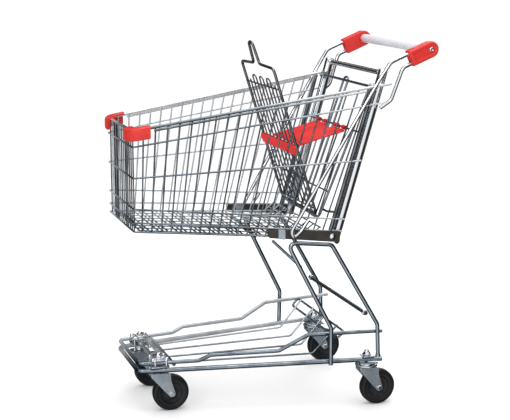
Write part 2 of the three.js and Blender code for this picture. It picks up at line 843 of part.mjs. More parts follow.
// One bent rod from the base up under the side rail and back down, with its short front brace.
function legFrame(side) {
  const footY = 122;
  const points = [
    vec(lowerSide(footY) + BASE.lowerR + LEG.r + GAP, footY, BASE.lowerZ - BASE.lowerR),
    vec(208, 123, 234),
    vec(190.5, -1, 479),
    vec(202, 124, 467),
    vec(214, 258, 234),
    vec(215, 261, BASE.lowerZ + BASE.lowerR + GAP),
  ];
  const bent = rod(points.map((p) => vec(side * p.x, p.y, p.z)), LEG.r, 18);
  const brace = rod([vec(side * 184.3, -40, 486), vec(side * 192, 40, 408)], LEG.braceR, 0);
  return join(bent, brace);
}

function legCrossBar() {
  const { half, place, r } = LEG.bar;
  return rod([vec(-half, ...place), vec(half, ...place)], r, 0);
}

// ---------------------------------------------------------------- base and tray

function lowerSide(y) {
  return BASE.noseHalf + ((BASE.rearHalf - BASE.noseHalf) * (y - BASE.noseY)) / (BASE.rearY - BASE.noseY);
}

function mirrored(points) {
  return [...points, ...[...points].reverse().map((p) => vec(-p.x, p.y, p.z))];
}

function lowerLoop() {
  const right = [BASE.rearY, BASE.noseY].map((y) => vec(lowerSide(y), y, BASE.lowerZ));
  return rod(mirrored(right), BASE.lowerR, BASE.noseBend, 8, 4);
}

const upperSide = (y) => 203 - 0.13 * (271 - y);

function upperLoop() {
  const heights = [[277, 211], [66, 211], [-14, 170.5], [-202, 170.5], [-234, 157], [-396, 157]];
  return rod(mirrored(heights.map(([y, z]) => vec(upperSide(y), y, z))), BASE.upperR, BASE.noseBend, 8, 2);
}

const TRAY = {
  r: 2.75,
  z: 142,
  frontY: -306,
  bendY: 98,
  topY: 167,
  topZ: 219,
  wires: [[84, 133, 141], [32, 44, 43]],  // half spacing at the front, the bend and the top
  crossR: 5,
  crossY: -300,
  crossRise: 6.5,
  ring: { high: [172, 212.5], low: [153.4, 193], half: 180.5, r: 3.5 },
};

// Four long wires on a front cross rod; they run level and then climb to the rear ring.
function trayRack() {
  const wire = (front, rear, top) => rod([
    vec(front, TRAY.frontY, TRAY.z),
    vec(rear, TRAY.bendY, TRAY.z),
    vec(top, TRAY.topY, TRAY.topZ),
  ], TRAY.r, 12, 6, 2);
  const { crossY } = TRAY;
  const half = upperSide(crossY) - BASE.upperR - GAP;
  const crossZ = TRAY.z + TRAY.crossRise;
  const cross = rod([vec(-half, crossY, crossZ), vec(half, crossY, crossZ)], TRAY.crossR, 0);
  const wires = TRAY.wires.flatMap(([front, rear, top]) => [
    wire(front, rear, top),
    wire(-front, -rear, -top),
  ]);
  return join(cross, ...wires);
}

// A long ring of rod between the upper rails, under the raised ends of the tray wires.
function trayRing() {
  const { high, low, half, r } = TRAY.ring;
  const right = [vec(GAP / 2, ...high), vec(half, ...high), vec(half, ...low)];
  return rod(mirrored(right), r, 17, 6, 3);
}

function flatPlate(x, y, width, length, z, thick, holes) {
  const r = 5;
  const [w, l] = [width / 2, length / 2];
  const shape = new THREE.Shape([
    flat(-w + r, -l), flat(w - r, -l), flat(w, -l + r), flat(w, l - r),
    flat(w - r, l), flat(-w + r, l), flat(-w, l - r), flat(-w, -l + r),
  ]);
  for (const [hx, hy] of holes) {
    shape.holes.push(hole(hx, hy, CASTER.pinHoleR));
  }
  return slab(shape, thick).translate(x, y, z);
}

function frontCrossPlate() {
  const [x, y] = FRONT.pin;
  return flatPlate(0, y, 272, 44, CROSS_PLATE_Z, FLAT_PLATE, [[-x, 0], [x, 0]]);
}

function clampPlate(side) {
  const [x, y] = REAR.pin;
  return flatPlate(side * (x + 3), y, 34, 34, CLAMP_PLATE_Z, FLAT_PLATE, [[-side * 3, 0]]);
}

// ---------------------------------------------------------------- casters

// Plate with its pressed ball race, and the pin that the fork swivels on with its upper nut.
function casterPlate({ plateZ, raceR }, nut) {
  const { plateSize, plateThick, pinR, crownZ, crownThick } = CASTER;
  const plate = flatPlate(0, 0, plateSize, plateSize, plateZ, plateThick, []);
  const pin = latheZ([
    [0, 99], [8.5, 99], [8.5, crownZ - 0.6], [pinR, crownZ - GAP], [pinR, nut], [9.5, nut],
    [9.5, nut + 7], [6, nut + 12], [0, nut + 15],
  ], 8);
  const base = crownZ + crownThick + GAP;
  const neckR = Math.min(24, raceR - 1);
  const race = latheZ([
    [pinR - 1, base], [neckR, base], [raceR, base + 3], [raceR, base + 6], [neckR, plateZ + 1],
    [pinR - 1, plateZ + 1], [pinR - 1, base],
  ], 14);
  return join(plate, pin, race);
}

// Crown and two tapered legs, about the swivel axis, with the wheel trailing behind.
function fork() {
  const { trail, forkInner, forkThick, crownZ, crownThick, axleR } = CASTER;
  const outer = forkInner + forkThick;
  const top = crownZ + crownThick;
  const axleZ = CASTER.wheelR;
  const leg = new THREE.Shape();
  leg.moveTo(-22, top);
  leg.lineTo(-22, crownZ - 6);
  leg.lineTo(trail - 9.5, axleZ - 6);
  leg.absarc(trail, axleZ, 11, Math.PI + 0.6, 2 * Math.PI, false);
  leg.lineTo(32, top);
  leg.holes.push(hole(trail, axleZ, axleR + GAP));
  const crown = new THREE.Shape();
  crown.moveTo(outer, 32);
  crown.lineTo(-outer, 32);
  crown.lineTo(-outer, -22);
  crown.quadraticCurveTo(0, -34, outer, -22);
  crown.holes.push(hole(0, 0, CASTER.pinHoleR));
  return join(
    slab(crown, crownThick).translate(0, 0, crownZ),
    sidewise(leg, forkInner, outer),
    sidewise(leg, -outer, -forkInner),
  );
}

function axleBolt() {
  const { axleR, forkInner, forkThick } = CASTER;
  const seat = forkInner + forkThick + GAP;
  const head = seat + 4.5;
  const headR = 6.5;
  const profile = [
    [0, -head], [headR, -head], [headR, -seat], [axleR, -seat],
    [axleR, seat], [headR, seat], [headR, head], [0, head],
  ];
  return latheX(profile, 8);
}

function wheelHub() {
  const { boreR, hubR, hubHalf } = CASTER;
  const { bossR, webHalf, dishR, rimHalf } = CASTER;
  const profile = [
    [boreR, -hubHalf], [bossR, -hubHalf], [bossR, -webHalf], [dishR, -webHalf], [dishR, -rimHalf],
    [hubR, -rimHalf], [hubR, rimHalf], [dishR, rimHalf], [dishR, webHalf], [bossR, webHalf],
    [bossR, hubHalf], [boreR, hubHalf], [boreR, -hubHalf],
  ];
  return latheX(profile, 18);
}

function tyre() {
  const { wheelR, tyreHalf, hubR } = CASTER;
  const inner = hubR + GAP;
  const profile = [
    [inner, -tyreHalf], [wheelR - 6, -tyreHalf], [wheelR, -7], [wheelR, 7],
    [wheelR - 6, tyreHalf], [inner, tyreHalf], [inner, -tyreHalf],
  ];
  return latheX(profile, 18);
}

const CORNERS = [
  ['front_left', -1, FRONT, CROSS_PLATE_Z],
  ['front_right', 1, FRONT, CROSS_PLATE_Z],
  ['rear_left', -1, REAR, CLAMP_PLATE_Z],
  ['rear_right', 1, REAR, CLAMP_PLATE_Z],
];

// Stands a caster upright on the floor, under the holes of its tipped plates.
function caster(corner, side, end, holeZ) {
  const [x, y] = end.pin;
  const hole = tipped(y, holeZ + FLAT_PLATE);
  const fixed = part(`caster_plate_${corner}`, casterPlate(end, hole.z + 2 * GAP), zinc());
  fixed.position.set(side * x, hole.y, 0);
  const swivel = new THREE.Group();
  swivel.position.copy(fixed.position);
  const wheel = new THREE.Group();
  wheel.position.set(0, CASTER.trail, CASTER.wheelR);
  wheel.add(
    part(`tyre_${corner}`, tyre(), blackRubber()),
    part(`wheel_hub_${corner}`, wheelHub(), blackRubber()),
    part(`axle_bolt_${corner}`, axleBolt(), zinc()),
  );
  swivel.add(part(`caster_fork_${corner}`, fork(), zinc()), wheel);
  return [fixed, swivel];
}

// ---------------------------------------------------------------- bolts

// Bolts through the rear ends of the side rails into the feet of the uprights.
function railBolt(side) {
  const head = RAIL.inset + RAIL.thick + GAP;
  const { boltR, boltY: y, boltZ } = RAIL;
  const profile = [
    [0, RAIL.inset], [boltR, RAIL.inset], [boltR, head], [7.5, head], [6.5, head + 4], [0, head + 5],
  ];
  const out = vec(side * Math.cos(yaw), -Math.sin(yaw), 0);
  const turned = lathe(profile, 8);
  const start = vec(side * sideHalf(y), y, boltZ).addScaledVector(out, RAIL.inset);
  return placed(turned.translate(0, -RAIL.inset, 0), start, vec(0, 0, side), out);
}

// Domed bolts on the outer sides of the uprights, in line with the stretcher bar.
function stretcherBolt(side) {
  const at = uprightAt(STRETCHER.z);
  const turned = latheX([[0, 0], [7, 0], [6, 4], [0, 5]], 8);
  if (side < 0) {
    turned.rotateZ(Math.PI);
  }
  return turned.translate(side * (at.x + UPRIGHT.r - 1.5), at.y, STRETCHER.z);
}

// ---------------------------------------------------------------- assembly

const SIDES = [['left', -1], ['right', 1]];

const body = new THREE.Group();
body.rotation.x = LEAN.angle;
body.position.z = -LEAN.drop;
body.add(
  part('base_loop_lower', lowerLoop(), chrome()),
  part('base_loop_upper', upperLoop(), chrome()),
  part('front_cross_plate', frontCrossPlate(), chrome()),
  part('tray_rack', trayRack(), chrome()),
  part('tray_rear_ring', trayRing(), chrome()),
  part('leg_cross_bar', legCrossBar(), chrome()),
  part('stretcher_bar', stretcherBar(), chrome()),
  part('basket_rim', basketRim(), chrome()),
  part('front_panel', frontPanel(), chrome()),
  part('floor_mat', floorMat(), chrome()),
  part('grip_sleeve', gripSleeve(), greyPlastic()),
  part('grip_core_tube', gripCore(), zinc()),
  part('rear_gate', rearGate(), chrome()),
  part('seat_back_frame', seatFrame(), chrome()),
  part('seat_back_grille', seatGrille(), chrome()),
  part('seat_front_lip', seatLip(), redPlastic()),
  part('seat_flap', seatFlap(), redPlastic()),
);

for (const [name, side] of SIDES) {
  body.add(
    part(`leg_frame_${name}`, legFrame(side), chrome()),
    part(`side_rail_${name}`, sideRail(side), darkSteel()),
    part(`rail_bolt_${name}`, railBolt(side), zinc()),
    part(`base_clamp_plate_${name}`, clampPlate(side), zinc()),
    part(`seat_hinge_clip_${name}`, seatClip(side * CLIP_X), chrome()),
    part(`upright_${name}`, upright(side), chrome()),
    part(`handle_rod_upper_${name}`, upperHandleRod(side), chrome()),
    part(`handle_rod_lower_${name}`, lowerHandleRod(side), chrome()),
    part(`handle_cap_${name}`, handleCap(side), redPlastic()),
    part(`side_panel_${name}`, sidePanel(side), chrome()),
    part(`corner_bumper_${name}`, cornerBumper(side), redPlastic()),
  );
}

const cart = new THREE.Group();
cart.position.set(0, CENTRE_SHIFT, 0);
cart.add(body, ...CORNERS.flatMap((corner) => caster(...corner)));

export default cart;
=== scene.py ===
"""Looks of a nesting wire shopping cart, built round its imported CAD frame.

Sizes are in millimetres in the frame's own directions (+X right, +Y rear, +Z up) and are
turned into metres when a piece is made. The body is drawn on a level base and then tipped
forward a little on to its casters, which are drawn upright on the floor. Y is counted from
the axis of the drawing, which lies CENTRE_SHIFT in front of the middle of the outer box.
"""

import math

import bmesh
import bpy
from mathutils import Matrix, Vector

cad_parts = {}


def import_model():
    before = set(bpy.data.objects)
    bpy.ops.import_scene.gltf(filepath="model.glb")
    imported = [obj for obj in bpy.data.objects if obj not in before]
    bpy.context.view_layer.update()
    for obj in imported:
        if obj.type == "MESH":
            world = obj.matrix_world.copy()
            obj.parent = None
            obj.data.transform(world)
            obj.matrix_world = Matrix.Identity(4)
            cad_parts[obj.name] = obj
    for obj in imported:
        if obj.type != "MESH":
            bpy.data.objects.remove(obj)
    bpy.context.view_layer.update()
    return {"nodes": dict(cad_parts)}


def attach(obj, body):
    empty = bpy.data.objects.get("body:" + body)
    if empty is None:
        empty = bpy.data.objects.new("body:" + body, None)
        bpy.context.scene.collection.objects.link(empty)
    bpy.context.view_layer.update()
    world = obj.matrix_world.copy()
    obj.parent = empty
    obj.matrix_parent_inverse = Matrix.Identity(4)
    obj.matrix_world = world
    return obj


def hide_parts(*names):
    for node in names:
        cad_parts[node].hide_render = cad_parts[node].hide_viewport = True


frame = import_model()

MM = 0.001
CENTRE_SHIFT = 27.1
LEAN = 0.024
LEAN_DROP = 8.7
SIDES = (("left", -1), ("right", 1))

BASKET_FRONT_Y = -407.0
BASKET_FRONT_HALF = 141.0
TAPER = 0.1
YAW = math.atan(TAPER)
RIM_R = 4.0
RIM_FRONT_Z = 792.6
RIM_SLOPE = 0.1525
RIM_REAR_Y = 288.0
RIM_BEND = 25.0

BASE_Z = 136.0
BASE_R = 6.5

SEAT_LEAN = Vector((0, -0.3, 0.954)).normalized()
SEAT_FORWARD = Vector((0, -SEAT_LEAN.z, SEAT_LEAN.y))
# Y and Z of the seat back's hinge, and how far its plane lies ahead of that.
SEAT_HINGE = (115, 529)
SEAT_AHEAD = 6.0
# Y and Z of the gate's upper and lower cross wires, and the height of the one between them.
GATE_TOP = (243, 889)
GATE_FOOT = (115, 529)
GATE_MIDDLE_Z = 770

# X and Y of the king pin, and the height of the plate's hole that it passes through.
FRONT_PIN = (105, -339, 166)
REAR_PIN = (203, 232, 146)
TRAIL = 35.0
WHEEL_R = 50.0


# ---- points and curves

TIP = Matrix.Translation((0, CENTRE_SHIFT, -LEAN_DROP)) @ Matrix.Rotation(LEAN, 4, "X")
# Takes the tip off again, for the pieces that were drawn in the floor's own frame.
STANDING = Matrix.Translation((0, CENTRE_SHIFT * MM, 0)) @ (
    Matrix.Translation((0, CENTRE_SHIFT * MM, -LEAN_DROP * MM)) @ Matrix.Rotation(LEAN, 4, "X")
).inverted()


def at(x, y, z):
    """A point of the level drawing, in metres in the row frame."""
    return TIP @ Vector((x, y, z)) * MM


def pin_place(x, y, z):
    """The plan place of a king pin in the floor's own frame, under its tipped hole."""
    return x, (TIP @ Vector((x, y, z))).y - CENTRE_SHIFT


def lerp(a, b, t):
    return a + (b - a) * t


def bent(corners, bend, steps):
    """The centre line of a bent rod: straight stretches joined by round bends."""
    points = [Vector(c) for c in corners]
    if len(points) < 3:
        return points
    line = [points[0]]
    for before, here, after in zip(points, points[1:], points[2:]):
        back = before - here
        on = after - here
        reach = bend / math.tan(back.angle(on) / 2)
        trim = min(reach, 0.48 * back.length, 0.48 * on.length)
        start = here + back.normalized() * trim
        end = here + on.normalized() * trim
        for i in range(steps + 1):
            t = i / steps
            line.append(start * (1 - t) ** 2 + here * (2 * t * (1 - t)) + end * t ** 2)
    line.append(points[-1])
    return line


def mirrored(points):
    """A line given from one end to the middle of the cart, and its mirror image after it."""
    return list(points) + [Vector((-p[0], p[1], p[2])) for p in reversed(list(points))]


def flipped(points, side):
    return [Vector((p[0] * side, p[1], p[2])) for p in points]


def crosswise(half, y, z):
    """A straight line across the cart, from its left side to its right."""
    return [(-half, y, z), (half, y, z)]


# The casters' pieces, which were drawn upright in the floor's own frame.
CASTER_SLOTS = ("caster_", "wheel_hub_", "tyre_", "axle_bolt_")


def add(obj, material, slot, body="frame", stands_for=()):
    """Gives a new piece its material and its body, hides the CAD nodes that it stands for, and takes
    the tip off it if its slot is a caster's.
    """
    if slot.startswith(CASTER_SLOTS):
        obj.matrix_world = STANDING
    obj.data.materials.clear()
    obj.data.materials.append(material)
    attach(obj, body)
    if stands_for:
        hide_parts(*stands_for)


def stand_in(obj, material, node, body="frame"):
    """Adds a new piece in place of the CAD node of that name."""
    add(obj, material, node, body, [node])


def placed(name, data):
    """A new object in the scene."""
    obj = bpy.data.objects.new(name, data)
    bpy.context.scene.collection.objects.link(obj)
    return obj


def rods(name, paths, radius, sides, cyclic=False):
    """Round rods along poly-lines in drawing millimetres, as one curve object.

    A path is a list of points, or a pair (points, radius) where its radius differs.
    """
    curve = bpy.data.curves.new(name, "CURVE")
    curve.dimensions = "3D"
    curve.bevel_depth = radius * MM
    curve.bevel_resolution = max(0, sides // 4)
    curve.use_fill_caps = not cyclic
    curve.twist_mode = "MINIMUM"
    for path in paths:
        points, own = path if isinstance(path, tuple) else (path, radius)
        spline = curve.splines.new("POLY")
        spline.points.add(len(points) - 1)
        for knot, point in zip(spline.points, points):
            knot.co = (*at(*point), 1.0)
            knot.radius = own / radius
        spline.use_cyclic_u = cyclic
        spline.use_smooth = True
    return placed(name, curve)


def mesh_object(name, bm, smooth_deg=40.0):
    """An object from a bmesh, shaded smooth up to that angle between its faces."""
    mesh = bpy.data.meshes.new(name)
    bmesh.ops.recalc_face_normals(bm, faces=bm.faces)
    bm.to_mesh(mesh)
    bm.free()
    mesh.shade_smooth()
    mesh.set_sharp_from_angle(angle=math.radians(smooth_deg))
    return placed(name, mesh)


def soften(obj, width, segments):
    """Rounds a piece's sharp edges."""
    bevel = obj.modifiers.new("edge", "BEVEL")
    bevel.width = width * MM
    bevel.segments = segments
    bevel.limit_method = "ANGLE"
    bevel.angle_limit = math.radians(35)
    bevel.harden_normals = True
    return obj


def skinned(name, rings, smooth_deg=40.0, cyclic=False):
    """A piece whose skin joins rings of points, each a list in drawing millimetres.

    The last ring joins the first one if it is cyclic; otherwise the two ends are closed.
    """
    bm = bmesh.new()
    rows = [[bm.verts.new(at(*p)) for p in ring] for ring in rings]
    pairs = list(zip(rows, rows[1:])) + ([(rows[-1], rows[0])] if cyclic else [])
    for low, high in pairs:
        for i in range(len(low)):
            j = (i + 1) % len(low)
            bm.faces.new((low[i], low[j], high[j], high[i]))
    if not cyclic:
        bm.faces.new(list(reversed(rows[0])))
        bm.faces.new(rows[-1])
    return mesh_object(name, bm, smooth_deg)


def turned(name, profile, origin, axis, segments, start_deg=0, smooth_deg=40.0):
    """A turned piece: profile of (radius, distance along the axis); origin in drawing mm.

    A profile that ends where it starts makes a ring with a hole, and six segments a hexagon.
    """
    closed = profile[0] == profile[-1]
    rings = []
    for radius, along in profile[:-1] if closed else profile:
        ring = []
        for i in range(segments):
            angle = math.radians(start_deg) + 2 * math.pi * i / segments
            c, s = radius * math.cos(angle), radius * math.sin(angle)
            place = (c, s, along) if axis == "Z" else (along, c, s)
            ring.append([o + p for o, p in zip(origin, place)])
        rings.append(ring)
    return skinned(name, rings, smooth_deg, closed)


def facing(profile, side):
    """A profile of (radius, distance) turned to run towards +X or towards -X."""
    return [(r, side * s) for r, s in profile]


def rounded_end(radius, base, rise, tip):
    """Profile of a domed end, which rises from its base and narrows to the tip's radius."""
    angles = [math.radians(15 * i) for i in range(7)]
    return [(radius * math.cos(a) + tip, base + rise * math.sin(a)) for a in angles]


# The axes of a level plate.
LEVEL = ((1, 0, 0), (0, 1, 0))


def plate(name, outline, thickness, origin, x_axis, y_axis, edge=0.5):
    """A flat plate: outline points in its own plane, thickened both ways from that plane."""
    x = Vector(x_axis).normalized()
    z = x.cross(Vector(y_axis)).normalized()
    y = z.cross(x)
    base = Vector(origin)
    rings = []
    for level in (-thickness / 2, thickness / 2):
        rings.append([base + x * p[0] + y * p[1] + z * level for p in outline])
    return soften(skinned(name, rings, 30), edge, 2)


def arc(cx, cy, radius, start, end, steps):
    """Points on an arc, with angles in degrees."""
    angles = [math.radians(lerp(start, end, i / steps)) for i in range(steps + 1)]
    return [(cx + radius * math.cos(a), cy + radius * math.sin(a)) for a in angles]


def rectangle(x0, y0, x1, y1):
    return [(x0, y0), (x1, y0), (x1, y1), (x0, y1)]


def rounded_square(half, r):
    """Outline of a square with round corners, with its middle at the origin."""
    outline = []
    for k, (cx, cy) in enumerate(((1, 1), (-1, 1), (-1, -1), (1, -1))):
        outline += arc(cx * (half - r), cy * (half - r), r, 90 * k, 90 * k + 90, 5)
    return outline


# ---- materials

def fill(tree, sockets, values):
    """Gives each socket a plain value, or the output that it is linked to."""
    for name, value in values.items():
        if isinstance(value, bpy.types.NodeSocket):
            tree.links.new(value, sockets[name])
        else:
            sockets[name].default_value = value


def made(tree, kind, inputs, **settings):
    """The outputs of a new shader node with these inputs and settings."""
    node = tree.nodes.new("ShaderNode" + kind)
    for name, value in settings.items():
        setattr(node, name, value)
    fill(tree, node.inputs, inputs)
    return node.outputs


def shader(name):
    """A new material, its node tree, and the inputs of its surface shader."""
    material = bpy.data.materials.new(name)
    material.use_nodes = True
    return material, material.node_tree, material.node_tree.nodes["Principled BSDF"].inputs


def ramped(tree, source, low, high, at_low=0.3, at_high=0.7):
    """A colour that goes from low to high as the source goes from at_low to at_high."""
    ramp = tree.nodes.new("ShaderNodeValToRGB")
    for stop, place, colour in zip(ramp.color_ramp.elements, (at_low, at_high), (low, high)):
        stop.position = place
        stop.color = (*colour, 1)
    tree.links.new(source, ramp.inputs["Fac"])
    return ramp.outputs["Color"]


def ranged(tree, source, start=0.0, end=1.0, low=0.0, high=1.0):
    """A value that goes from low to high as the source goes from start to end."""
    ends = {"From Min": start, "From Max": end, "To Min": low, "To Max": high}
    return made(tree, "MapRange", {"Value": source, **ends})["Result"]


def mixed(tree, amount, one, other, how="MIX"):
    """Two colours mixed; any of the three can be a plain value."""
    parts = {"Factor": amount, "A": one, "B": other}
    return made(tree, "Mix", parts, data_type="RGBA", blend_type=how)["Result"]


def noise(tree, scale, detail, stretch=(1, 1, 1)):
    """Fine noise over the piece, in its own space."""
    place = made(tree, "TexCoord", {})["Object"]
    place = made(tree, "Mapping", {"Vector": place, "Scale": stretch})["Vector"]
    return made(tree, "TexNoise", {"Scale": scale, "Detail": detail, "Vector": place})["Fac"]


def scuffed(tree, texture, smooth, rough):
    """Roughness that a texture takes from smooth to rough."""
    return ramped(tree, texture, (smooth,) * 3, (rough,) * 3)


def bumped(tree, height, strength, distance):
    """A surface direction roughened by a height."""
    inputs = {"Strength": strength, "Distance": distance, "Height": height}
    return made(tree, "Bump", inputs)["Normal"]


def painted_sheen_reach(tree, sheen_fades):
    """How far a place lies along the painted reflection's fade that has got furthest there, from 0 to
    1.
    """
    place = made(tree, "TexCoord", {})["Object"]
    split = made(tree, "SeparateXYZ", {"Vector": place})
    furthest, *others = [ranged(tree, split[axis], start, end) for axis, start, end in sheen_fades]
    for amount in others:
        furthest = made(tree, "Math", {0: furthest, 1: amount}, operation="MAXIMUM")["Value"]
    return furthest


# How metallic the metal still is where the painted reflection is fullest, and where that painted
# reflection grows: axis, start and end in metres.
PAINTED_SHEEN_METALLIC = 0.45
# Painted reflection: the plating is painted paler towards the far side, -X, and towards the rear, +Y.
SHEEN_TOWARDS_FAR_SIDE = ("X", 0.09, -0.12)
SHEEN_TOWARDS_REAR = ("Y", -0.12, 0.22)


def plated_metal(
    name, dull, bright, smooth, rough, wave=0.02, metallic=1.0, pale=None, sheen_fades=(SHEEN_TOWARDS_FAR_SIDE,)
):
    """Plated steel: slow changes of tone, fine smears in the gloss and a faint wavy skin.

    With a pair of pale colours given, the colour fades to them and the metal grows less metallic: a
    painted reflection, paler towards the far side and the rear.
    """
    material, tree, surface = shader(name)
    tone = noise(tree, 22, 4)
    colour = ramped(tree, tone, dull, bright)
    # Painted reflection: paler colour and less metal along the sheen's fades.
    if pale:
        amount = painted_sheen_reach(tree, sheen_fades)
        colour = mixed(tree, amount, colour, ramped(tree, tone, *pale))
        metallic = ranged(tree, amount, low=metallic, high=PAINTED_SHEEN_METALLIC)
    fill(tree, surface, {
        "Base Color": colour,
        "Metallic": metallic,
        "IOR": 1.5,
        "Roughness": scuffed(tree, noise(tree, 90, 6, (1, 1, 0.35)), smooth, rough),
        "Normal": bumped(tree, noise(tree, 260, 3), wave, 0.0004),
    })
    return material


def moulded_plastic(name, low, high, smooth, rough, grain=700, strength=0.12, coat=0.0, gloss=0.5):
    """Moulded plastic: mottled colour, fine grain and scuffs in the gloss."""
    material, tree, surface = shader(name)
    fill(tree, surface, {
        "Base Color": ramped(tree, noise(tree, 26, 5), low, high),
        "Metallic": 0.0,
        "IOR": 1.48,
        "Roughness": scuffed(tree, noise(tree, 120, 8, (1, 0.3, 1)), smooth, rough),
        "Normal": bumped(tree, noise(tree, grain, 2), strength, 0.0002),
        "Specular IOR Level": gloss,
        "Coat Weight": coat,
        "Coat Roughness": 0.12,
    })
    return material


CHROME = plated_metal("bright_chrome", (0.74, 0.76, 0.78), (0.93, 0.94, 0.95), 0.06, 0.15)
# BAND, BASE_CHROME, WIRE and RIM carry a painted reflection: paler on the far side, and BAND and RIM
# at the rear as well.
BAND = plated_metal(
    "band_chrome", (0.12, 0.14, 0.16), (0.28, 0.32, 0.36), 0.10, 0.20,
    pale=((0.50, 0.54, 0.57), (0.72, 0.75, 0.78)), sheen_fades=(SHEEN_TOWARDS_FAR_SIDE, SHEEN_TOWARDS_REAR),
)
BASE_CHROME = plated_metal(
    "base_chrome", (0.13, 0.16, 0.19), (0.34, 0.39, 0.44), 0.08, 0.16,
    pale=((0.44, 0.47, 0.50), (0.72, 0.75, 0.78)),
)
WIRE = plated_metal(
    "wire_chrome", (0.06, 0.07, 0.09), (0.28, 0.32, 0.36), 0.08, 0.2,
    pale=((0.38, 0.41, 0.44), (0.66, 0.69, 0.72)),
)
LEG = plated_metal("leg_chrome", (0.22, 0.26, 0.30), (0.40, 0.46, 0.52), 0.08, 0.18)
ZINC = plated_metal(
    "zinc_plate", (0.34, 0.40, 0.45), (0.60, 0.66, 0.71), 0.20, 0.30, 0.03, metallic=0.8,
)
RIM = plated_metal(
    "rim_chrome", (0.14, 0.16, 0.18), (0.30, 0.34, 0.37), 0.10, 0.22,
    pale=((0.60, 0.62, 0.64), (0.80, 0.82, 0.84)), sheen_fades=(SHEEN_TOWARDS_FAR_SIDE, SHEEN_TOWARDS_REAR),
)
PALE_ZINC = plated_metal(
    "pale_zinc", (0.46, 0.50, 0.54), (0.78, 0.82, 0.86), 0.16, 0.30, 0.03, metallic=0.7,
)
DARK_WIRE = plated_metal("dark_wire", (0.10, 0.11, 0.12), (0.26, 0.28, 0.30), 0.10, 0.24)
RED = moulded_plastic("red_plastic", (0.56, 0.014, 0.009), (0.66, 0.022, 0.014), 0.28, 0.44, coat=0.1)
# The lip is the seat's red painted brighter: painted light that lifts the shade on its forward and
# downward face.
LIP_RED_PAINTED_LIGHT = moulded_plastic("lip_red_painted_light", (0.84, 0.012, 0.008), (0.98, 0.02, 0.014), 0.34, 0.5)
SEAT_RED = moulded_plastic("seat_red_plastic", (0.60, 0.006, 0.004), (0.78, 0.013, 0.008), 0.34, 0.5)
GRIP = moulded_plastic("grip_plastic", (0.60, 0.61, 0.65), (0.72, 0.73, 0.77), 0.36, 0.55, 420, 0.2)
BLACK = moulded_plastic(
    "black_nylon", (0.009, 0.009, 0.011), (0.020, 0.021, 0.023), 0.3, 0.5, gloss=0.35,
)
TYRE = moulded_plastic(
    "tyre_rubber", (0.005, 0.006, 0.007), (0.011, 0.013, 0.015), 0.34, 0.55, 900, 0.3, gloss=0.3,
)
RAIL = moulded_plastic(
    "dark_rail_paint", (0.024, 0.021, 0.017), (0.044, 0.039, 0.032), 0.3, 0.5, 300, 0.2, gloss=0.35,
)


# ---- basket

def side_half(y):
    """Half the basket's width at that place along it."""
    return BASKET_FRONT_HALF + TAPER * (y - BASKET_FRONT_Y)


def rim_z(y):
    return RIM_FRONT_Z + RIM_SLOPE * (y - BASKET_FRONT_Y)


def floor_z(y):
    return 528 - 0.0874 * (y + 400)


def on_side(y, z, side, out=0.0):
    """A point on a side panel's plane, moved out from the basket by that much."""
    return Vector((side * (side_half(y) + out * math.cos(YAW)), y - out * math.sin(YAW), z))


WIRE_R = 2.25
BAND_R = 2.4
END_ROD_R = 5.6
UPRIGHT_WIRES = 20
FRONT_WIRES = 13
FLOOR_WIRES = 9
# Y of the first hoop at its foot and at its head, and the pitch along the basket.
FOOT_Y = (-387.3, 25.3)
HEAD_Y = (-379.6, 32.0)
HOOP_DROP = 2.0
# The long wires of a side panel: height at the front, height at the rear, rear end in Y.
LONG_WIRES = (
    (751, 826, 272), (669.5, 690.2, 205), (588.5, 539.5, 161), (552, 506, 152), (528, 486, 140),
)


def line_z(front, rear, y):
    """Height on a long wire that is known at the front corner and at Y 112."""
    return front + (rear - front) * (y + 400) / 512


def basket_hoops():
    """Upright wires of both sides, each pair one hoop that passes under the floor."""
    hoops = []
    for i in range(UPRIGHT_WIRES):
        foot, head = FOOT_Y[0] + FOOT_Y[1] * i, HEAD_Y[0] + HEAD_Y[1] * i
        low = floor_z(foot) - HOOP_DROP
        right = [on_side(head, rim_z(head) - 3, 1), on_side(foot, low, 1)]
        hoops.append(bent(mirrored(right), 7, 4))
    piece = rods("basket_hoops", hoops, WIRE_R, 8)
    add(piece, WIRE, "side_panel_left", stands_for=["side_panel_left", "side_panel_right"])

    for side_name, side in SIDES:
        end_rod = [on_side(115, 481, side, 1), on_side(235, rim_z(235) - 4, side, 1)]
        piece = rods(f"end_rod_{side_name}", [end_rod], END_ROD_R, 14)
        add(piece, DARK_WIRE, "side_panel_right")


def basket_bands():
    """Long wires outside the hoops, each one bent round the basket's front."""
    bands = []
    out = 2 * WIRE_R - 0.4
    for front, rear, end in LONG_WIRES:
        corner = (side_half(BASKET_FRONT_Y) + out, BASKET_FRONT_Y + 2 - out, front)
        bands.append(bent(mirrored([on_side(end, line_z(front, rear, end), 1, out), corner]), 9, 5))
    add(rods("basket_bands", bands, BAND_R, 10), BAND, "side_panel_left")


def basket_front():
    """Front wires, dark and bright by turns, with two thicker rods and two wires across."""
    dark, bright = [], []
    y = BASKET_FRONT_Y + 2
    low, high = 526, 789
    for i in range(FRONT_WIRES):
        x = lerp(-130, 130, i / (FRONT_WIRES - 1))
        wires = bright if i % 2 else dark
        wires.append([(x, y, low), (x, y, high)])
    for x in (-60, 60):
        dark.append(([(x, y - 1, low), (x, y - 1, high)], 3.6))
    for z in (538, 545):
        bright.append(crosswise(134, y + 3.5, z))
    stand_in(rods("front_wires", dark, 2.0, 8), DARK_WIRE, "front_panel")
    add(rods("front_wires_between", bright, 1.9, 8), WIRE, "front_panel")


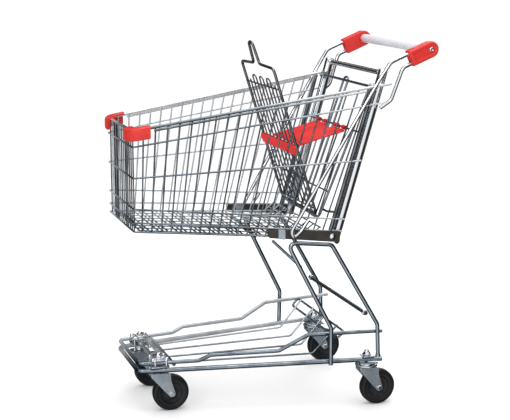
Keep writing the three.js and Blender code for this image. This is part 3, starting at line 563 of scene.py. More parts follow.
def basket_floor():
    mat = []
    path = [(-398, floor_z(-398)), (62, floor_z(62)), (97, 514)]
    for i in range(FLOOR_WIRES):
        t = lerp(-1, 1, i / (FLOOR_WIRES - 1))
        mat.append([(t * (side_half(y) - 6), y, z + HOOP_DROP) for y, z in path])
    for i in range(0, UPRIGHT_WIRES - 2, 2):
        y = FOOT_Y[0] + FOOT_Y[1] * (i + 0.5)
        mat.append(crosswise(side_half(y) - 4, y, floor_z(y) + HOOP_DROP - 3.4))
    for y, z in ((80, 500), (97, 513.5)):
        mat.append(crosswise(side_half(y) - 5, y, z))
    stand_in(rods("floor_wires", mat, 1.9, 6), WIRE, "floor_mat")


def basket_rim():
    """The rim's bent rod, and a second wire close under it along each side."""
    rear = RIM_REAR_Y
    right = [(side_half(rear), rear, rim_z(rear)), (BASKET_FRONT_HALF, BASKET_FRONT_Y, RIM_FRONT_Z)]
    line = bent(mirrored(right), RIM_BEND, 10)
    stand_in(rods("basket_rim_rod", [line], RIM_R, 16), RIM, "basket_rim")
    under = [on_side(y, rim_z(y) - 8.2, 1, 2.2) for y in (214, -352)]
    add(rods("rim_second_wires", [under, flipped(under, -1)], 3.2, 12), RIM, "basket_rim")


BUMPER_TAIL_Y = -364
BUMPER_NOSE_X = 100
BUMPER_DROP = 8.5


def bumper_track(offset):
    """Plan points of the corner bumper's run at a distance out from the rim's line."""
    front = BASKET_FRONT_Y - offset
    turn = Vector((side_half(front) + offset / math.cos(YAW), front))
    bend = RIM_BEND + offset
    first = Vector((turn.x - bend, front))
    last = Vector((turn.x + TAPER * bend, front + bend))
    track = [Vector((BUMPER_NOSE_X, front)), Vector((lerp(BUMPER_NOSE_X, first.x, 0.5), front))]
    for t in (i / 10 for i in range(11)):
        track.append(first * (1 - t) ** 2 + turn * (2 * t * (1 - t)) + last * t ** 2)
    track.append(Vector((side_half(BUMPER_TAIL_Y) + offset / math.cos(YAW), BUMPER_TAIL_Y)))
    return track


def corner_bumper(side_name, side):
    # Section of the moulding, going round it: distance out from the rim, and height.
    section = [(5.2, 776), (6.0, 775), (13, 775), (15.2, 777.5), (16, 784), (16, 800), (14.6, 805.5)]
    section += [(11, 808.2), (0, 809), (-7, 808.4), (-9.4, 806), (-9.6, 803), (-8, 802.4)]
    section += [(0, 803.8), (4.4, 803), (5.2, 800)]
    tracks = [bumper_track(offset) for offset, _ in section]
    rings = []
    for places in zip(*tracks):
        rings.append([
            (side * p.x, p.y, z - BUMPER_DROP + RIM_SLOPE * (p.y - BASKET_FRONT_Y))
            for p, (_, z) in zip(places, section)
        ])
    piece = soften(skinned(f"bumper_{side_name}", rings, 32), 1.1, 3)
    stand_in(piece, RED, f"corner_bumper_{side_name}")


# ---- uprights, rails and legs

UPRIGHT_FOOT = Vector((179.5, 142, 477))
UPRIGHT_HEAD = Vector((191, 273, 938))
UPRIGHT_R = 12.5
STRETCHER_Z = 926
STRETCHER_R = 7


def upright_at(z):
    """The middle of the right upright at that height."""
    return UPRIGHT_FOOT.lerp(UPRIGHT_HEAD, (z - UPRIGHT_FOOT.z) / (UPRIGHT_HEAD.z - UPRIGHT_FOOT.z))


def upright(side_name, side):
    """Slanting tube, with the gate's ear, the gate's stop and the stretcher's bolt."""
    slot = f"upright_{side_name}"
    axis = (UPRIGHT_HEAD - UPRIGHT_FOOT).normalized()
    length = (UPRIGHT_HEAD - UPRIGHT_FOOT).length
    across = axis.cross(Vector((0, 1, 0))).normalized()
    other = axis.cross(across)
    profile = [(UPRIGHT_R - 2, 0), (UPRIGHT_R, 2)] + rounded_end(UPRIGHT_R, length - 9, 9, 0.01)
    rings = []
    for radius, along in profile:
        circle = arc(0, 0, radius, 0, 360, 32)[:-1]
        ring = [UPRIGHT_FOOT + axis * along + across * a + other * b for a, b in circle]
        rings.append(flipped(ring, side))
    stand_in(skinned(f"upright_tube_{side_name}", rings), CHROME, slot)

    pivot_y, pivot_z = GATE_TOP
    outline = [(pivot_y + 19, pivot_z + 9), (pivot_y + 13, pivot_z - 14)]
    outline += arc(pivot_y, pivot_z, 9, 250, 90, 8)
    ear = plate(f"gate_ear_{side_name}", outline, 4, (side * 177, 0, 0), (0, 1, 0), (0, 0, 1))
    add(ear, CHROME, slot)

    stop = bent([(side * 176, 159, 549), (side * 150, 130, 549), (side * 122, 130, 549)], 8, 5)
    add(rods(f"gate_stop_{side_name}", [stop], 3.4, 12), DARK_WIRE, slot)

    head = upright_at(STRETCHER_Z)
    dome = [(7.6, 0), (7.6, 1.6), (6.4, 1.8), (6.2, 4.2), (4.6, 5.4), (0.5, 5.8)]
    start = (side * (head.x + UPRIGHT_R - 0.6), head.y, head.z)
    add(turned(f"stretcher_bolt_{side_name}", facing(dome, side), start, "X", 24), ZINC, slot)


def stretcher():
    """Round bar between the uprights' heads, with a collar at each end."""
    head = upright_at(STRETCHER_Z)
    half = head.x - 12
    rod = rods("stretcher_rod", [crosswise(half, head.y, head.z)], STRETCHER_R, 20)
    stand_in(rod, CHROME, "stretcher_bar")
    collar = [(7, 0), (10, 0.8), (10, 7), (8.6, 8), (7, 8), (7, 0)]
    for side_name, side in SIDES:
        place = (side * (half - 0.4), head.y, head.z)
        piece = turned(f"stretcher_collar_{side_name}", facing(collar, -side), place, "X", 28)
        add(piece, CHROME, "stretcher_bar")


RAIL_INSET = WIRE_R + 0.3
RAIL_THICK = 10


def beside(name, outline, side, inner, outer, edge, segments):
    """A plate beside the basket, between two distances out from a side panel's plane."""
    rings = [[on_side(y, z, side, out) for y, z in outline] for out in (inner, outer)]
    return soften(skinned(name, rings, 30), edge, segments)


def side_rail(side_name, side):
    """Dark flat rail, with a bright clip round its front part and a bolt at its rear end."""
    def top(y):
        return 516.5 - 0.0605 * (y + 48)

    def foot(y):
        return 494.6 - 0.1095 * (y + 48)

    outer = RAIL_INSET + RAIL_THICK
    outline = [(-52, foot(-52) + 4), (-48, foot(-48)), (132, foot(132))]
    outline += [(133.5, 471.5), (137, 468.6), (141, 469), (145.6, 473)]
    outline += [(147, 480), (147, 500), (145.8, 504), (139, top(139)), (-52, top(-52))]
    rail = beside(f"rail_{side_name}", outline, side, RAIL_INSET, outer, 1.6, 3)
    stand_in(rail, RAIL, f"side_rail_{side_name}")

    start, end = -24, -5
    round_rail = [(y, foot(y) - 1.2) for y in (start, end)] + [(y, top(y) + 1.2) for y in (end, start)]
    clip = beside(f"rail_clip_{side_name}", round_rail, side, RAIL_INSET - 0.6, outer + 0.9, 0.8, 2)
    add(clip, ZINC, f"rail_bolt_{side_name}")

    dome = [(8.6, 0), (8.6, 1.2), (7.0, 1.5), (6.8, 4.0), (4.5, 5.6), (0.4, 6.1)]
    spot = on_side(126, 491, side, outer)
    bolt = turned(f"rail_dome_{side_name}", facing(dome, side), spot, "X", 28)
    stand_in(bolt, CHROME, f"rail_bolt_{side_name}")


# Y and Z of the round bar between the rear legs.
LEG_BAR = (223.4, 268)
# X and Y of the rear legs' feet, and how far above the lower loop's middle they end.
LEG_REAR_FOOT = (215, 261)
LEG_FOOT_RISE = 7


def leg_frame(side_name, side):
    """Bent rod from the base up to the side rail and back down, with a short brace."""
    foot_z = BASE_Z + LEG_FOOT_RISE
    outside = lower_side(122) + BASE_R + 6.4
    path = [
        (outside, 122, BASE_Z - BASE_R), (208, 123, 234), (190.5, -1, 479),
        (202, 124, 467), (214, 258, 234), (*LEG_REAR_FOOT, foot_z),
    ]
    bend = bent(flipped(path, side), 18, 8)
    brace = flipped([(184.3, -40, 486), (192, 40, 408)], side)
    legs = rods(f"legs_{side_name}", [bend, (brace, 4.0)], 6, 16)
    stand_in(legs, LEG, f"leg_frame_{side_name}")
    weld = [(6.0, 6), (7.4, 2), (8.2, -2), (6.5, -3.2)]
    foot = (side * LEG_REAR_FOOT[0], LEG_REAR_FOOT[1], foot_z)
    add(turned(f"foot_weld_{side_name}", weld, foot, "Z", 20), LEG, f"leg_frame_{side_name}")


# ---- base and tray

BASE_NOSE_Y = -397
BASE_REAR_Y = 270


def lower_side(y):
    """X of the base's lower loop on the right."""
    return lerp(116, 221, (y - BASE_NOSE_Y) / (BASE_REAR_Y - BASE_NOSE_Y))


def upper_side(y):
    """X of the base's upper loop on the right."""
    return 203 - 0.13 * (271 - y)


def base():
    right = [(lower_side(y), y, BASE_Z) for y in (BASE_REAR_Y, BASE_NOSE_Y)]
    loop = rods("base_loop", [bent(mirrored(right), 24, 10)], BASE_R, 20)
    stand_in(loop, BASE_CHROME, "base_loop_lower")

    heights = ((277, 211), (66, 211), (-14, 170.5), (-202, 170.5), (-234, 157), (-396, 157))
    right = [(upper_side(y), y, z) for y, z in heights]
    line = bent(mirrored(right), 24, 8)
    stand_in(rods("tray_loop", [line], 5.5, 18), BASE_CHROME, "base_loop_upper")

    stand_in(rods("leg_bar", [crosswise(214, *LEG_BAR)], 5.5, 18), LEG, "leg_cross_bar")
    nut = [(5, 0), (8.4, 0.6), (8.4, 8), (7.4, 9), (5, 9), (5, 0)]
    for side_name, side in SIDES:
        place = (side * 207, *LEG_BAR)
        collar = turned(f"leg_bar_nut_{side_name}", facing(nut, -side), place, "X", 6)
        add(collar, CHROME, "leg_cross_bar")


def tray():
    wires = []
    for front, rear, top in ((84, 133, 141), (32, 44, 43)):
        path = [(front, -306, 142), (rear, 98, 142), (top, 169, 221)]
        wires += [bent(path, 14, 6), bent(flipped(path, -1), 14, 6)]
    cross = (crosswise(upper_side(-300) - 5.9, -300, 148.5), 5.0)
    stand_in(rods("tray_wires", wires + [cross], 2.75, 12), BASE_CHROME, "tray_rack")

    high, low, half = (172, 212.5), (153.4, 193), 180.5
    right = bent([(0, *high), (half, *high), (half, *low), (0, *low)], 17, 8)
    left = list(reversed(flipped(right, -1)))
    ring = rods("tray_ring", [right[:-1] + left[:-1]], 3.5, 12, cyclic=True)
    stand_in(ring, LEG, "tray_rear_ring")


def front_plate():
    """Two bars across the nose, tied together between flanges."""
    slot = "front_cross_plate"
    _, y, top = FRONT_PIN
    level = top - 1.5
    for k, middle in enumerate((-12, 12)):
        outline = rectangle(-92, middle - 5, 92, middle + 5)
        bar = plate(f"nose_bar_{k}", outline, 3, (0, y, level), *LEVEL, 0.8)
        stand_in(bar, PALE_ZINC, slot)
    for k, x in enumerate((-58, 0, 58)):
        tie = plate(f"nose_tie_{k}", rectangle(-5, -8, 5, 8), 2.6, (x, y, level), *LEVEL, 0.6)
        add(tie, PALE_ZINC, slot)
    for k, edge in enumerate((-16, 16)):
        place = (0, y + edge, level + 1)
        outline = rectangle(-90, 0, 90, 9)
        flange = plate(f"nose_flange_{k}", outline, 2.2, place, (1, 0, 0), (0, 0, 1), 0.6)
        add(flange, CHROME, slot)
    for side_name, side in SIDES:
        nose_fittings(side_name, side, slot)


def nose_fittings(side_name, side, slot):
    """A square pad with four bolts over a caster, and two saddles over the upper loop."""
    pin_x, y, top = FRONT_PIN
    place = (side * pin_x, y, top - 1.5)
    pad = plate(f"nose_pad_{side_name}", rounded_square(25, 5), 3, place, *LEVEL, 0.8)
    add(pad, PALE_ZINC, slot)
    dome = [(5.4, 0), (5.4, 2.6), (4.6, 4.2), (2.8, 5.2), (0.3, 5.6)]
    shank = [(3.2, -36), (3.2, 0.4)]
    for k, (dx, dy) in enumerate(rectangle(-18, -19, 18, 19)):
        spot = (side * pin_x + dx, y + dy, top)
        add(turned(f"pad_bolt_{side_name}_{k}", dome, spot, "Z", 20), CHROME, slot)
        if abs(spot[0]) < pin_x:
            add(turned(f"pad_stud_{side_name}_{k}", shank, spot, "Z", 16), CHROME, slot)
    # Distance out from the loop's middle, and height, of the saddle's bends.
    over = ((-11, 166.5), (-6, 167.5), (0, 168), (6.5, 166), (8, 151))
    for k, spot in enumerate((-354, -324)):
        line = [(side * (upper_side(spot) + out), spot, z) for out, z in over]
        add(rods(f"saddle_{side_name}_{k}", [bent(line, 5, 5)], 2.8, 12), CHROME, slot)


# ---- handle

HANDLE_Y, HANDLE_Z = 390, 989
CAP_TILT = math.radians(22.3)
CAP_R = 22
CAP_LENGTH = 63.7
ROD_X = 226
ROD_R = 5
GRIP_R = 12.5
GRIP_HALF = 211.6


def cap_point(x, s, h):
    """A point of the handle cap: s along it from the grip axis, h across it."""
    return Vector((
        x,
        HANDLE_Y + s * math.cos(CAP_TILT) - h * math.sin(CAP_TILT),
        HANDLE_Z + s * math.sin(CAP_TILT) + h * math.cos(CAP_TILT),
    ))


def stadium(inset):
    """The cap's outline, drawn in by that much: a half round and a square end."""
    r = CAP_R - inset
    tail = -CAP_LENGTH + inset
    corner = min(3.0, r * 0.3)
    thirds = (0.33, 0.66)
    points = arc(0, 0, r, -90, 90, 18)
    points += [(lerp(0, tail + corner, t), r) for t in thirds]
    points += arc(tail + corner, r - corner, corner, 90, 180, 4)
    points += [(tail, lerp(r - corner, -r + corner, t)) for t in thirds]
    points += arc(tail + corner, -r + corner, corner, 180, 270, 4)
    points += [(lerp(tail + corner, 0, t), -r) for t in thirds]
    return points


def handle_cap(side_name, side):
    # Inset of the outline and place across the cap, from the inner face to the middle
    # of the outer one, which is slightly dished inside a raised border.
    layers = [(4, 212), (1.2, 212.4), (0, 214), (0, 232)]
    for angle in (math.radians(a) for a in (20, 45, 68, 85)):
        layers.append((7 - 7 * math.cos(angle), 234 + 7 * math.sin(angle)))
    layers += [(8.6, 241), (9.6, 240.4), (10.4, 239.6), (12.5, 239.3), (17, 239.4)]
    rings = [[cap_point(side * x, s, h) for s, h in stadium(inset)] for inset, x in layers]
    stand_in(skinned(f"cap_{side_name}", rings, 55), RED, f"handle_cap_{side_name}")
    boss = [(6.4, -0.5), (6.4, 1.2), (5.6, 2.0), (3.4, 2.2), (2.6, 1.4), (0.4, 1.2)]
    spot = cap_point(side * 239.5, 0, 0)
    screw = turned(f"cap_screw_{side_name}", facing(boss, side), spot, "X", 24)
    add(screw, CHROME, f"handle_cap_{side_name}")


def handle_rods(side_name, side):
    """The two bent rods under a cap; the upper one ends in a hook at the basket's foot."""
    inside = -CAP_LENGTH + 18
    upper = [
        cap_point(ROD_X, inside, 13), cap_point(ROD_X, -117, 13), (222, 246, 909.5),
        (203.5, 7, 511), (203.5, 14, 493), (203.5, 35, 511), (203.5, 56, 541),
    ]
    lower = [
        cap_point(ROD_X, inside, -14.5), cap_point(ROD_X, -90, -14.5),
        (218.5, 283, 855), (213.5, 254, 835),
    ]
    for which, path, bend in (("upper", upper, 30), ("lower", lower, 24)):
        slot = f"handle_rod_{which}_{side_name}"
        rod = rods(f"{which}_rod_{side_name}", [bent(flipped(path, side), bend, 9)], ROD_R, 18)
        stand_in(rod, CHROME, slot)


def grip():
    bore, edge, half = 9.9, GRIP_R - 0.9, GRIP_HALF
    profile = [(bore, -half), (edge, -half), (GRIP_R, 1.2 - half), (GRIP_R, half - 1.2)]
    profile += [(edge, half), (bore, half), (bore, -half)]
    sleeve = turned("grip_tube", profile, (0, HANDLE_Y, HANDLE_Z), "X", 48)
    stand_in(sleeve, GRIP, "grip_sleeve")


# ---- rear gate and child seat

def gate_point(x, z):
    """A point on the gate's slanting plane."""
    t = (z - GATE_TOP[1]) / (GATE_FOOT[1] - GATE_TOP[1])
    return Vector((x, lerp(GATE_TOP[0], GATE_FOOT[0], t), z))


def gate_cross(half, z):
    """A straight wire across the gate."""
    return mirrored([gate_point(-half, z)])


def rear_gate():
    """The gate's bent frame, its cross wires, its middle pin and four upright wires."""
    top, foot = GATE_TOP[1], GATE_FOOT[1]
    outline = mirrored([gate_point(168, top), gate_point(128, foot)])
    pin = mirrored([gate_point(15, foot), gate_point(15, top + 9)])
    paths = [
        (bent(outline, 18, 8), 3.4), (gate_cross(180.5, top), 3.8), (bent(pin, 12, 8), 3.1),
        (gate_cross(183, GATE_MIDDLE_Z), 2.9), (gate_cross(134, 600), 2.5),
    ]
    stand_in(rods("gate_wires", paths, 3.4, 14), LEG, "rear_gate", "gate")
    for side_name, side in SIDES:
        for k, x in enumerate((56, 100)):
            wire = [gate_point(side * x, foot), gate_point(side * (x + x / 8), GATE_MIDDLE_Z - 2)]
            piece = rods(f"gate_upright_{side_name}_{k}", [wire], 2.4, 10)
            add(piece, WIRE, "rear_gate", "gate")


def seat_point(x, t, forward=0.0):
    """A point of the seat back: x to the side, t up from its hinge, forward towards the nose."""
    return Vector((x, *SEAT_HINGE)) + SEAT_LEAN * t + SEAT_FORWARD * (SEAT_AHEAD + forward)


# X of the seat back's long wires: the outer two, and three hairpins between them.
HAIRPINS = (-58, 0, 58)
HAIRPIN_HALF = 14
SEAT_WIRES = [-102] + [x + half for x in HAIRPINS for half in (-HAIRPIN_HALF, HAIRPIN_HALF)] + [102]
SEAT_FOOT = 13.5
SEAT_HALF = 134


def seat_back():
    """Bent outline with a finger loop at its head, the wires across it, and the hinge clips."""
    left = ((-SEAT_HALF, SEAT_FOOT), (-SEAT_HALF, 433), (-24, 437), (-15, 499))
    upper = bent(mirrored([seat_point(x, t) for x, t in left]), 14, 8)
    hinge = Vector((0, *SEAT_HINGE))
    upper = [p for p in upper if (p - hinge).dot(SEAT_LEAN) > 40]
    foot = bent(mirrored([seat_point(-SEAT_HALF, t) for t in (80, SEAT_FOOT)]), 14, 8)[1:-1]
    whole = rods("seat_frame_rod", [foot + upper[::-1]], 4, 16, cyclic=True)
    stand_in(whole, DARK_WIRE, "seat_back_frame", "seat_back")

    low = 32
    wires = [[seat_point(x, low), seat_point(x, 382)] for x in (SEAT_WIRES[0], SEAT_WIRES[-1])]
    for middle in HAIRPINS:
        start, end = middle - HAIRPIN_HALF, middle + HAIRPIN_HALF
        hairpin = ((start, low), (start, 398), (end, 398), (end, low))
        wires.append(bent([seat_point(x, t) for x, t in hairpin], 11, 7))
    wires += [mirrored([seat_point(-131, t, 3.6)]) for t in (low, 120, 215, 376)]
    grille = rods("seat_grille_wires", wires, 2.25, 10)
    stand_in(grille, DARK_WIRE, "seat_back_grille", "seat_back")

    link = SEAT_LEAN * SEAT_FOOT + SEAT_FORWARD * SEAT_AHEAD
    outline = arc(link.length, 0, 6.3, -90, 90, 12) + arc(0, 0, 5.8, 90, 270, 12)
    for side_name, side in SIDES:
        place = (side * 90, *SEAT_HINGE)
        clip = plate(f"hinge_clip_{side_name}", outline, 14, place, link, (0, link.z, -link.y), 0.8)
        stand_in(clip, ZINC, f"seat_hinge_clip_{side_name}", "seat_back")


def seat_lip():
    """Red strip across the front of the seat back, with rounded ends and a rolled top edge."""
    low, high = 187, 216
    mid = (low + high) / 2
    # Distance forward, and height on the seat back, going round the strip.
    section = [(4.6, low + 2), (5.4, low), (7.4, low), (8.4, low + 1.6), (8.8, mid)]
    section += [(8.6, high - 4), (7.4, high - 0.6), (4.5, high + 0.4), (0, high), (-2, high - 0.8)]
    section += [(-2, high - 2.2), (3.6, high - 3), (4.4, high - 5)]
    rings = []
    for x in (-139, -138, -134, *range(-120, 121, 24), 134, 138, 139):
        pinch = 1 - 0.35 * max(0.0, (abs(x) - 132) / 7) ** 2
        # Beside the wires, the shelf behind the strip stops short.
        least = 3.2 if abs(x) > 126 else -2
        rings.append([seat_point(x, mid + (t - mid) * pinch, max(f, least)) for f, t in section])
    strip = soften(skinned("lip_strip", rings, 32), 0.6, 2)
    strip.visible_glossy = False
    # The strip takes the red that is painted brighter, as painted light against its shade.
    stand_in(strip, LIP_RED_PAINTED_LIGHT, "seat_front_lip", "seat_back")


FLAP_TURN = math.radians(194.5)
FLAP_LENGTH = 142
FLAP_SLOT = 18
FLAP_HALF = 110
FLAP_TOP = -4.5
FLAP_THICK = 4.0
FLAP_COLUMNS = 60


def flap_point(x, out, up):
    """A point of the seat flap: out from its hinge towards the nose, up from the hinge's plane."""
    hinge = gate_point(0, GATE_MIDDLE_Z)
    c, s = math.cos(FLAP_TURN), math.sin(FLAP_TURN)
    return Vector((x, hinge.y + out * c + up * s, hinge.z + out * s - up * c))


def flap_half(out):
    """Half width of the flap: waisted in the middle, with its rear corners cut off."""
    t = min(max((out - 12) / (FLAP_LENGTH - 26), 0), 1)
    waist = FLAP_HALF - 16 * t * (1 - t)
    return waist - (6 * (12 - out) / 8 if out < 12 else 0)


def flap_crown(x, out):
    """Soft dish of the seat, which rises to its four edges."""
    across = min(abs(x) / FLAP_HALF, 1.0)
    along = (out - 4) / (FLAP_LENGTH - 4)
    return -1.2 * math.sin(math.pi * along) * (1 - across ** 2)


def flap_open(x, out):
    """Whether the flap is cut away there: at the gate's middle pin and at the seat's wires."""
    if out > FLAP_LENGTH - FLAP_SLOT:
        return any(abs(x - wire) < 4.0 for wire in SEAT_WIRES)
    return out <= 16 and abs(x) < 22


def seat_flap():
    """Waisted plate with hinge barrels and ribs under it."""
    slots = FLAP_LENGTH - FLAP_SLOT
    rows = [4, 8, 12, 16, 24] + [lerp(32, slots - 5, i / 8) for i in range(9)]
    rows += [slots, slots + FLAP_SLOT / 2, FLAP_LENGTH]
    skin = {}
    bm = bmesh.new()

    def place(i, out):
        return lerp(-flap_half(out), flap_half(out), i / FLAP_COLUMNS)

    def vertex(i, j, level):
        key = (i, j, level)
        if key not in skin:
            out = rows[j]
            x = place(i, out)
            height = FLAP_TOP + flap_crown(x, out) - FLAP_THICK * level
            skin[key] = bm.verts.new(at(*flap_point(x, out, height)))
        return skin[key]

    filled = set()
    for i in range(FLAP_COLUMNS):
        for j, (start, end) in enumerate(zip(rows, rows[1:])):
            out = (start + end) / 2
            if not flap_open(place(i + 0.5, out), out):
                filled.add((i, j))
    for i, j in filled:
        for level in (0, 1):
            bm.faces.new([vertex(a, b, level) for a, b in rectangle(i, j, i + 1, j + 1)])
        for di, dj in ((-1, 0), (1, 0), (0, -1), (0, 1)):
            if (i + di, j + dj) not in filled:
                a = (i + max(di, 0), j + max(dj, 0))
                b = (a[0] + abs(dj), a[1] + abs(di))
                bm.faces.new((vertex(*a, 0), vertex(*b, 0), vertex(*b, 1), vertex(*a, 1)))
    flap = soften(mesh_object("flap_plate", bm, 30), 0.9, 2)
    flap.visible_glossy = False
    stand_in(flap, SEAT_RED, "seat_flap", "seat_flap")

    eye = [(3.4, -10), (5.6, -10), (6.2, -9.2), (6.2, 9.2), (5.6, 10), (3.4, 10), (3.4, -10)]
    for k, x in enumerate((-94, -40, 40, 94)):
        barrel = turned(f"flap_barrel_{k}", eye, gate_point(x, GATE_MIDDLE_Z), "X", 24)
        add(barrel, SEAT_RED, "seat_flap", "seat_flap")
    for k, x in enumerate((-87, -29, 29, 87)):
        rib = [flap_point(x, 20, -9.0), flap_point(x, slots - 2, -9.0)]
        add(rods(f"flap_rib_{k}", [rib], 2.0, 10), SEAT_RED, "seat_flap", "seat_flap")


# ---- casters

CROWN_Z = 106


def dome_nut(corner, origin):
    """A chamfered hexagon with a round cap over it, on top of the king pin."""
    slot = f"caster_plate_{corner}"
    across, height = 17, 6.5
    radius = across / math.sqrt(3)
    profile = [(0.95 * radius, 0), (radius, 0.8), (radius, height - 0.8), (0.93 * radius, height)]
    add(turned(f"dome_nut_{corner}", profile, origin, "Z", 6, 15, 25), CHROME, slot)
    r = across * 0.42
    profile = [(r, height - 0.4)] + rounded_end(r, height, 6.8, 0.02)[1:]
    add(turned(f"dome_nut_{corner}_dome", profile, origin, "Z", 28), CHROME, slot)


def caster_top(corner, x, y, pin):
    """Plate, pressed ball race and king pin; the race of a front caster is a plain bush."""
    slot = f"caster_plate_{corner}"
    front = pin == FRONT_PIN
    plate_z = 128.9 if front else 123.4
    top = plate(f"top_plate_{corner}", rounded_square(26, 5), 3.6, (x, y, plate_z), *LEVEL, 0.7)
    stand_in(top, ZINC, slot)
    if front:
        race = [(8, 109.6), (12, 109.8), (13, 112), (13, 118), (12, 120), (12, 127.2), (8, 127.2)]
    else:
        race = [
            (12, 109.6), (22, 109.8), (26, 110.6), (30, 112.2), (31.4, 113.8), (31, 115.4),
            (28, 116.6), (25.4, 117.4), (24.4, 119), (24, 121.7), (10, 121.7),
        ]
    add(turned(f"ball_race_{corner}", race, (x, y, 0), "Z", 48), CHROME, slot)
    plate_top = (TIP @ Vector((x, *pin[1:]))).z + 0.4
    shank = turned(f"pin_shank_{corner}", [(5, 100), (5, plate_top + 4)], (x, y, 0), "Z", 20)
    add(shank, ZINC, slot)
    washer = [(5, 0), (12, 0), (12.4, 0.5), (12.4, 1.4), (11.8, 1.9), (5, 1.9), (5, 0)]
    add(turned(f"washer_{corner}", washer, (x, y, plate_top), "Z", 32), CHROME, slot)
    dome_nut(corner, (x, y, plate_top + 1.8))


def clamp_plate(side_name, side):
    """Small plate on the lower loop, over a rear caster."""
    x, y, top = REAR_PIN
    place = (side * (x + 3), y, top - 1.5)
    piece = plate(f"clamp_{side_name}", rounded_square(17, 4), 3, place, *LEVEL, 0.7)
    stand_in(piece, ZINC, f"base_clamp_plate_{side_name}")


def caster_fork(corner, x, y):
    """Pressed fork: a domed crown that folds down into two tapered legs."""
    body = f"caster_{corner}"
    slot = f"caster_fork_{corner}"
    inner, thick = 16.5, 2.5
    leg = arc(TRAIL, WHEEL_R, 10.5, 205, 350, 14) + [(32, 88), (31.5, 104), (29, 108.4)]
    leg += [(24, 109), (-18, 109), (-22.5, 107.5), (-24, 104), (-23, 99)]
    for k, side in enumerate((-1, 1)):
        middle = x + side * (inner + thick / 2)
        place = (middle, y, 0)
        cheek = plate(f"fork_cheek_{corner}_{k}", leg, thick, place, (0, 1, 0), (0, 0, 1), 0.9)
        add(cheek, ZINC, slot, body, stands_for=[slot] if k == 0 else ())
        lip = bent([(middle, y - 23, 100), (middle, y + 24, 56), (middle, y + 30, 44)], 12, 6)
        add(rods(f"fork_lip_{corner}_{k}", [lip], 1.5, 10), ZINC, slot, body)
    outer = inner + thick - 0.3
    crown = [(outer, 27)]
    for angle in (math.radians(15 * i) for i in range(13)):
        crown.append((outer * math.cos(angle), -20 - 9 * math.sin(angle)))
    crown.append((-outer, 27))
    top = plate(f"fork_crown_{corner}", crown, 3, (x, y, CROWN_Z + 1.5), *LEVEL, 1.0)
    add(top, ZINC, slot, body)


def caster_wheel(corner, x, y):
    """Tyre, dished hub and its ribs."""
    body = f"wheel_{corner}"
    centre = (x, y + TRAIL, WHEEL_R)
    tread = [(37.2, -12), (40, -13.2), (44, -13.5), (47, -12.6), (49.2, -9.8), (50, -6), (50, 0)]
    tread += [(r, -s) for r, s in reversed(tread[:-1])]
    tread.append(tread[0])
    tyre = turned(f"tyre_ring_{corner}", tread, centre, "X", 64)
    stand_in(tyre, TYRE, f"tyre_{corner}", body)

    hub = [
        (4.6, -15), (10.4, -15), (11.6, -14), (12.6, -7), (14.5, -5.6), (28, -5.6), (30.4, -7.4),
        (31.6, -11.4), (33, -12), (36.9, -12),
    ]
    hub += [(r, -s) for r, s in reversed(hub)]
    hub.append(hub[0])
    wheel = turned(f"hub_disc_{corner}", hub, centre, "X", 56)
    stand_in(wheel, BLACK, f"wheel_hub_{corner}", body)
    for k in range(6):
        angle = math.radians(60 * k + 10)
        out = Vector((0, math.cos(angle), math.sin(angle)))
        for face_name, face in (("in", -5.4), ("out", 5.4)):
            middle = Vector((x + face, *centre[1:]))
            rib = [middle + out * 12, middle + out * 30]
            spoke = rods(f"hub_rib_{corner}_{k}_{face_name}", [rib], 2.0, 10)
            add(spoke, BLACK, f"wheel_hub_{corner}", body)


def axle_bolt(corner, x, y):
    """Plain shank through the wheel, with a hexagon outside each leg of the fork."""
    body = f"caster_{corner}"
    slot = f"axle_bolt_{corner}"
    centre = (x, y + TRAIL, WHEEL_R)
    shank = [(4, -19.2), (4, 19.2)]
    stand_in(turned(f"axle_shank_{corner}", shank, centre, "X", 20), ZINC, slot, body)
    nut = [(7.4, 19.4), (7.4, 22.6), (6.364, 23.8)]
    for k, side in enumerate((-1, 1)):
        head = turned(f"axle_head_{corner}_{k}", facing(nut, side), centre, "X", 6, 0, 25)
        add(soften(head, 0.4, 2), CHROME, slot, body)


# ---- carried-over CAD node

def finish_core_tube():
    """The grip's core tube keeps its CAD shape and takes a finished material."""
    node = frame["nodes"]["grip_core_tube"]
    node.data.materials.clear()
    node.data.materials.append(ZINC)


# ---- stage, light and camera

CAMERA_PLACE = (3403, -1184, 1267)
CAMERA_RIGHT = Vector((0.3220, 0.9467, 0.0))
CAMERA_BACK = Vector((0.9277, -0.3155, 0.1999))
LENS = 92.36
SENSOR_WIDTH = 36
FLOOR_RADIUS = 3.6
# How bright the room is to scattered light, and to the eye.
ROOM_LEVEL = 1.08
BACKDROP_LEVEL = 1.05
# Where the bright side of the room lies, seen from the cart.
BRIGHT_SIDE = Vector((0.80, -0.60, 0.0)).normalized()


def camera():
    """The camera, placed in the cart's level drawing and tipped with it."""
    back = CAMERA_BACK.normalized()
    right = (CAMERA_RIGHT - back * CAMERA_RIGHT.dot(back)).normalized()
    back.rotate(TIP)
    right.rotate(TIP)
    up = back.cross(right)
    data = bpy.data.cameras.new("photo_camera")
    data.lens = LENS
    data.sensor_width = SENSOR_WIDTH
    obj = placed("photo_camera", data)
    turn = Matrix((right, up, back)).transposed().to_4x4()
    obj.matrix_world = Matrix.Translation(at(*CAMERA_PLACE)) @ turn
    bpy.context.scene.camera = obj


def floor():
    bm = bmesh.new()
    bmesh.ops.create_circle(bm, cap_ends=True, segments=96, radius=FLOOR_RADIUS)
    obj = mesh_object("studio_floor", bm)
    material, tree, surface = shader("floor_paint")
    paint = ramped(tree, noise(tree, 3.0, 3), (0.885,) * 3, (0.9,) * 3)
    fill(tree, surface, {
        "Base Color": paint, "Metallic": 0.0, "IOR": 1.5, "Roughness": 0.7, "Specular IOR Level": 0.1,
    })
    obj.data.materials.append(material)
    obj.visible_glossy = False


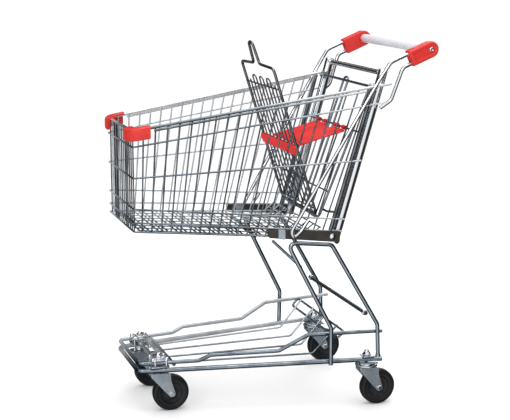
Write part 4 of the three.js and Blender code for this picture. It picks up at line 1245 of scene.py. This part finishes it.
def softbox(name, place, target, width, height, power):
    data = bpy.data.lights.new(name, "AREA")
    data.shape = "RECTANGLE"
    data.size = width
    data.size_y = height
    data.energy = power
    turn = (Vector(target) - Vector(place)).to_track_quat("-Z", "Y").to_matrix().to_4x4()
    placed(name, data).matrix_world = Matrix.Translation(place) @ turn


def world():
    """White to the eye; in reflections a dark studio, bright on one side and overhead."""
    world_data = bpy.data.worlds.new("studio")
    bpy.context.scene.world = world_data
    world_data.use_nodes = True
    world_data.cycles.sampling_method = "NONE"
    tree = world_data.node_tree
    direction = made(tree, "TexCoord", {})["Generated"]
    toward = made(tree, "VectorMath", {0: direction, 1: BRIGHT_SIDE}, operation="DOT_PRODUCT")
    ramp = tree.nodes.new("ShaderNodeValToRGB")
    tree.links.new(ranged(tree, toward["Value"], -1.0), ramp.inputs["Fac"])
    stops = ramp.color_ramp.elements
    stops[0].color = (0.02, 0.02, 0.02, 1)
    stops[1].color = (1.0, 1.0, 1.0, 1)
    # A narrow glow behind, dark all round, and the broad bright side.
    levels = ((0.10, 0.02), (0.16, 0.35), (0.24, 0.02), (0.72, 0.02), (0.81, 0.5), (0.88, 1.0))
    for place, value in levels:
        stops.new(place).color = (value * 0.95, value * 0.98, value, 1)
    height = made(tree, "SeparateXYZ", {"Vector": direction})["Z"]
    above = ramped(tree, height, (0.0,) * 3, (1.0,) * 3, 0.60, 0.76)
    colour = mixed(tree, 1.0, ramp.outputs["Color"], above, "LIGHTEN")
    path = made(tree, "LightPath", {})
    for kind, level in (("Is Diffuse Ray", ROOM_LEVEL), ("Is Camera Ray", BACKDROP_LEVEL)):
        colour = mixed(tree, path[kind], colour, (level, level, level, 1))
    fill(tree, tree.nodes["Background"].inputs, {"Color": colour, "Strength": 1.0})


def lights():
    softbox("key", (3.0, -3.2, 3.4), (0, 0, 0.4), 1.6, 1.6, 42)
    softbox("top", (0.2, 0.2, 4.0), (0, 0, 0), 3.0, 3.0, 55)
    softbox("fill", (-3.0, 2.0, 2.2), (0, 0, 0.5), 1.2, 2.6, 22)


# ---- making the cart

camera()
basket_hoops()
basket_bands()
basket_front()
basket_floor()
basket_rim()
stretcher()
for side_label, side_sign in SIDES:
    corner_bumper(side_label, side_sign)
    upright(side_label, side_sign)
    side_rail(side_label, side_sign)
    leg_frame(side_label, side_sign)
    handle_cap(side_label, side_sign)
    handle_rods(side_label, side_sign)
grip()
base()
tray()
front_plate()
rear_gate()
seat_back()
seat_lip()
seat_flap()
for side_label, side_sign in SIDES:
    clamp_plate(side_label, side_sign)
    for end_label, pin in (("front", FRONT_PIN), ("rear", REAR_PIN)):
        corner_label = f"{end_label}_{side_label}"
        place = pin_place(side_sign * pin[0], *pin[1:])
        caster_top(corner_label, *place, pin)
        caster_fork(corner_label, *place)
        caster_wheel(corner_label, *place)
        axle_bolt(corner_label, *place)
finish_core_tube()
floor()
world()
lights()
bpy.context.scene.view_settings.view_transform = "Standard"
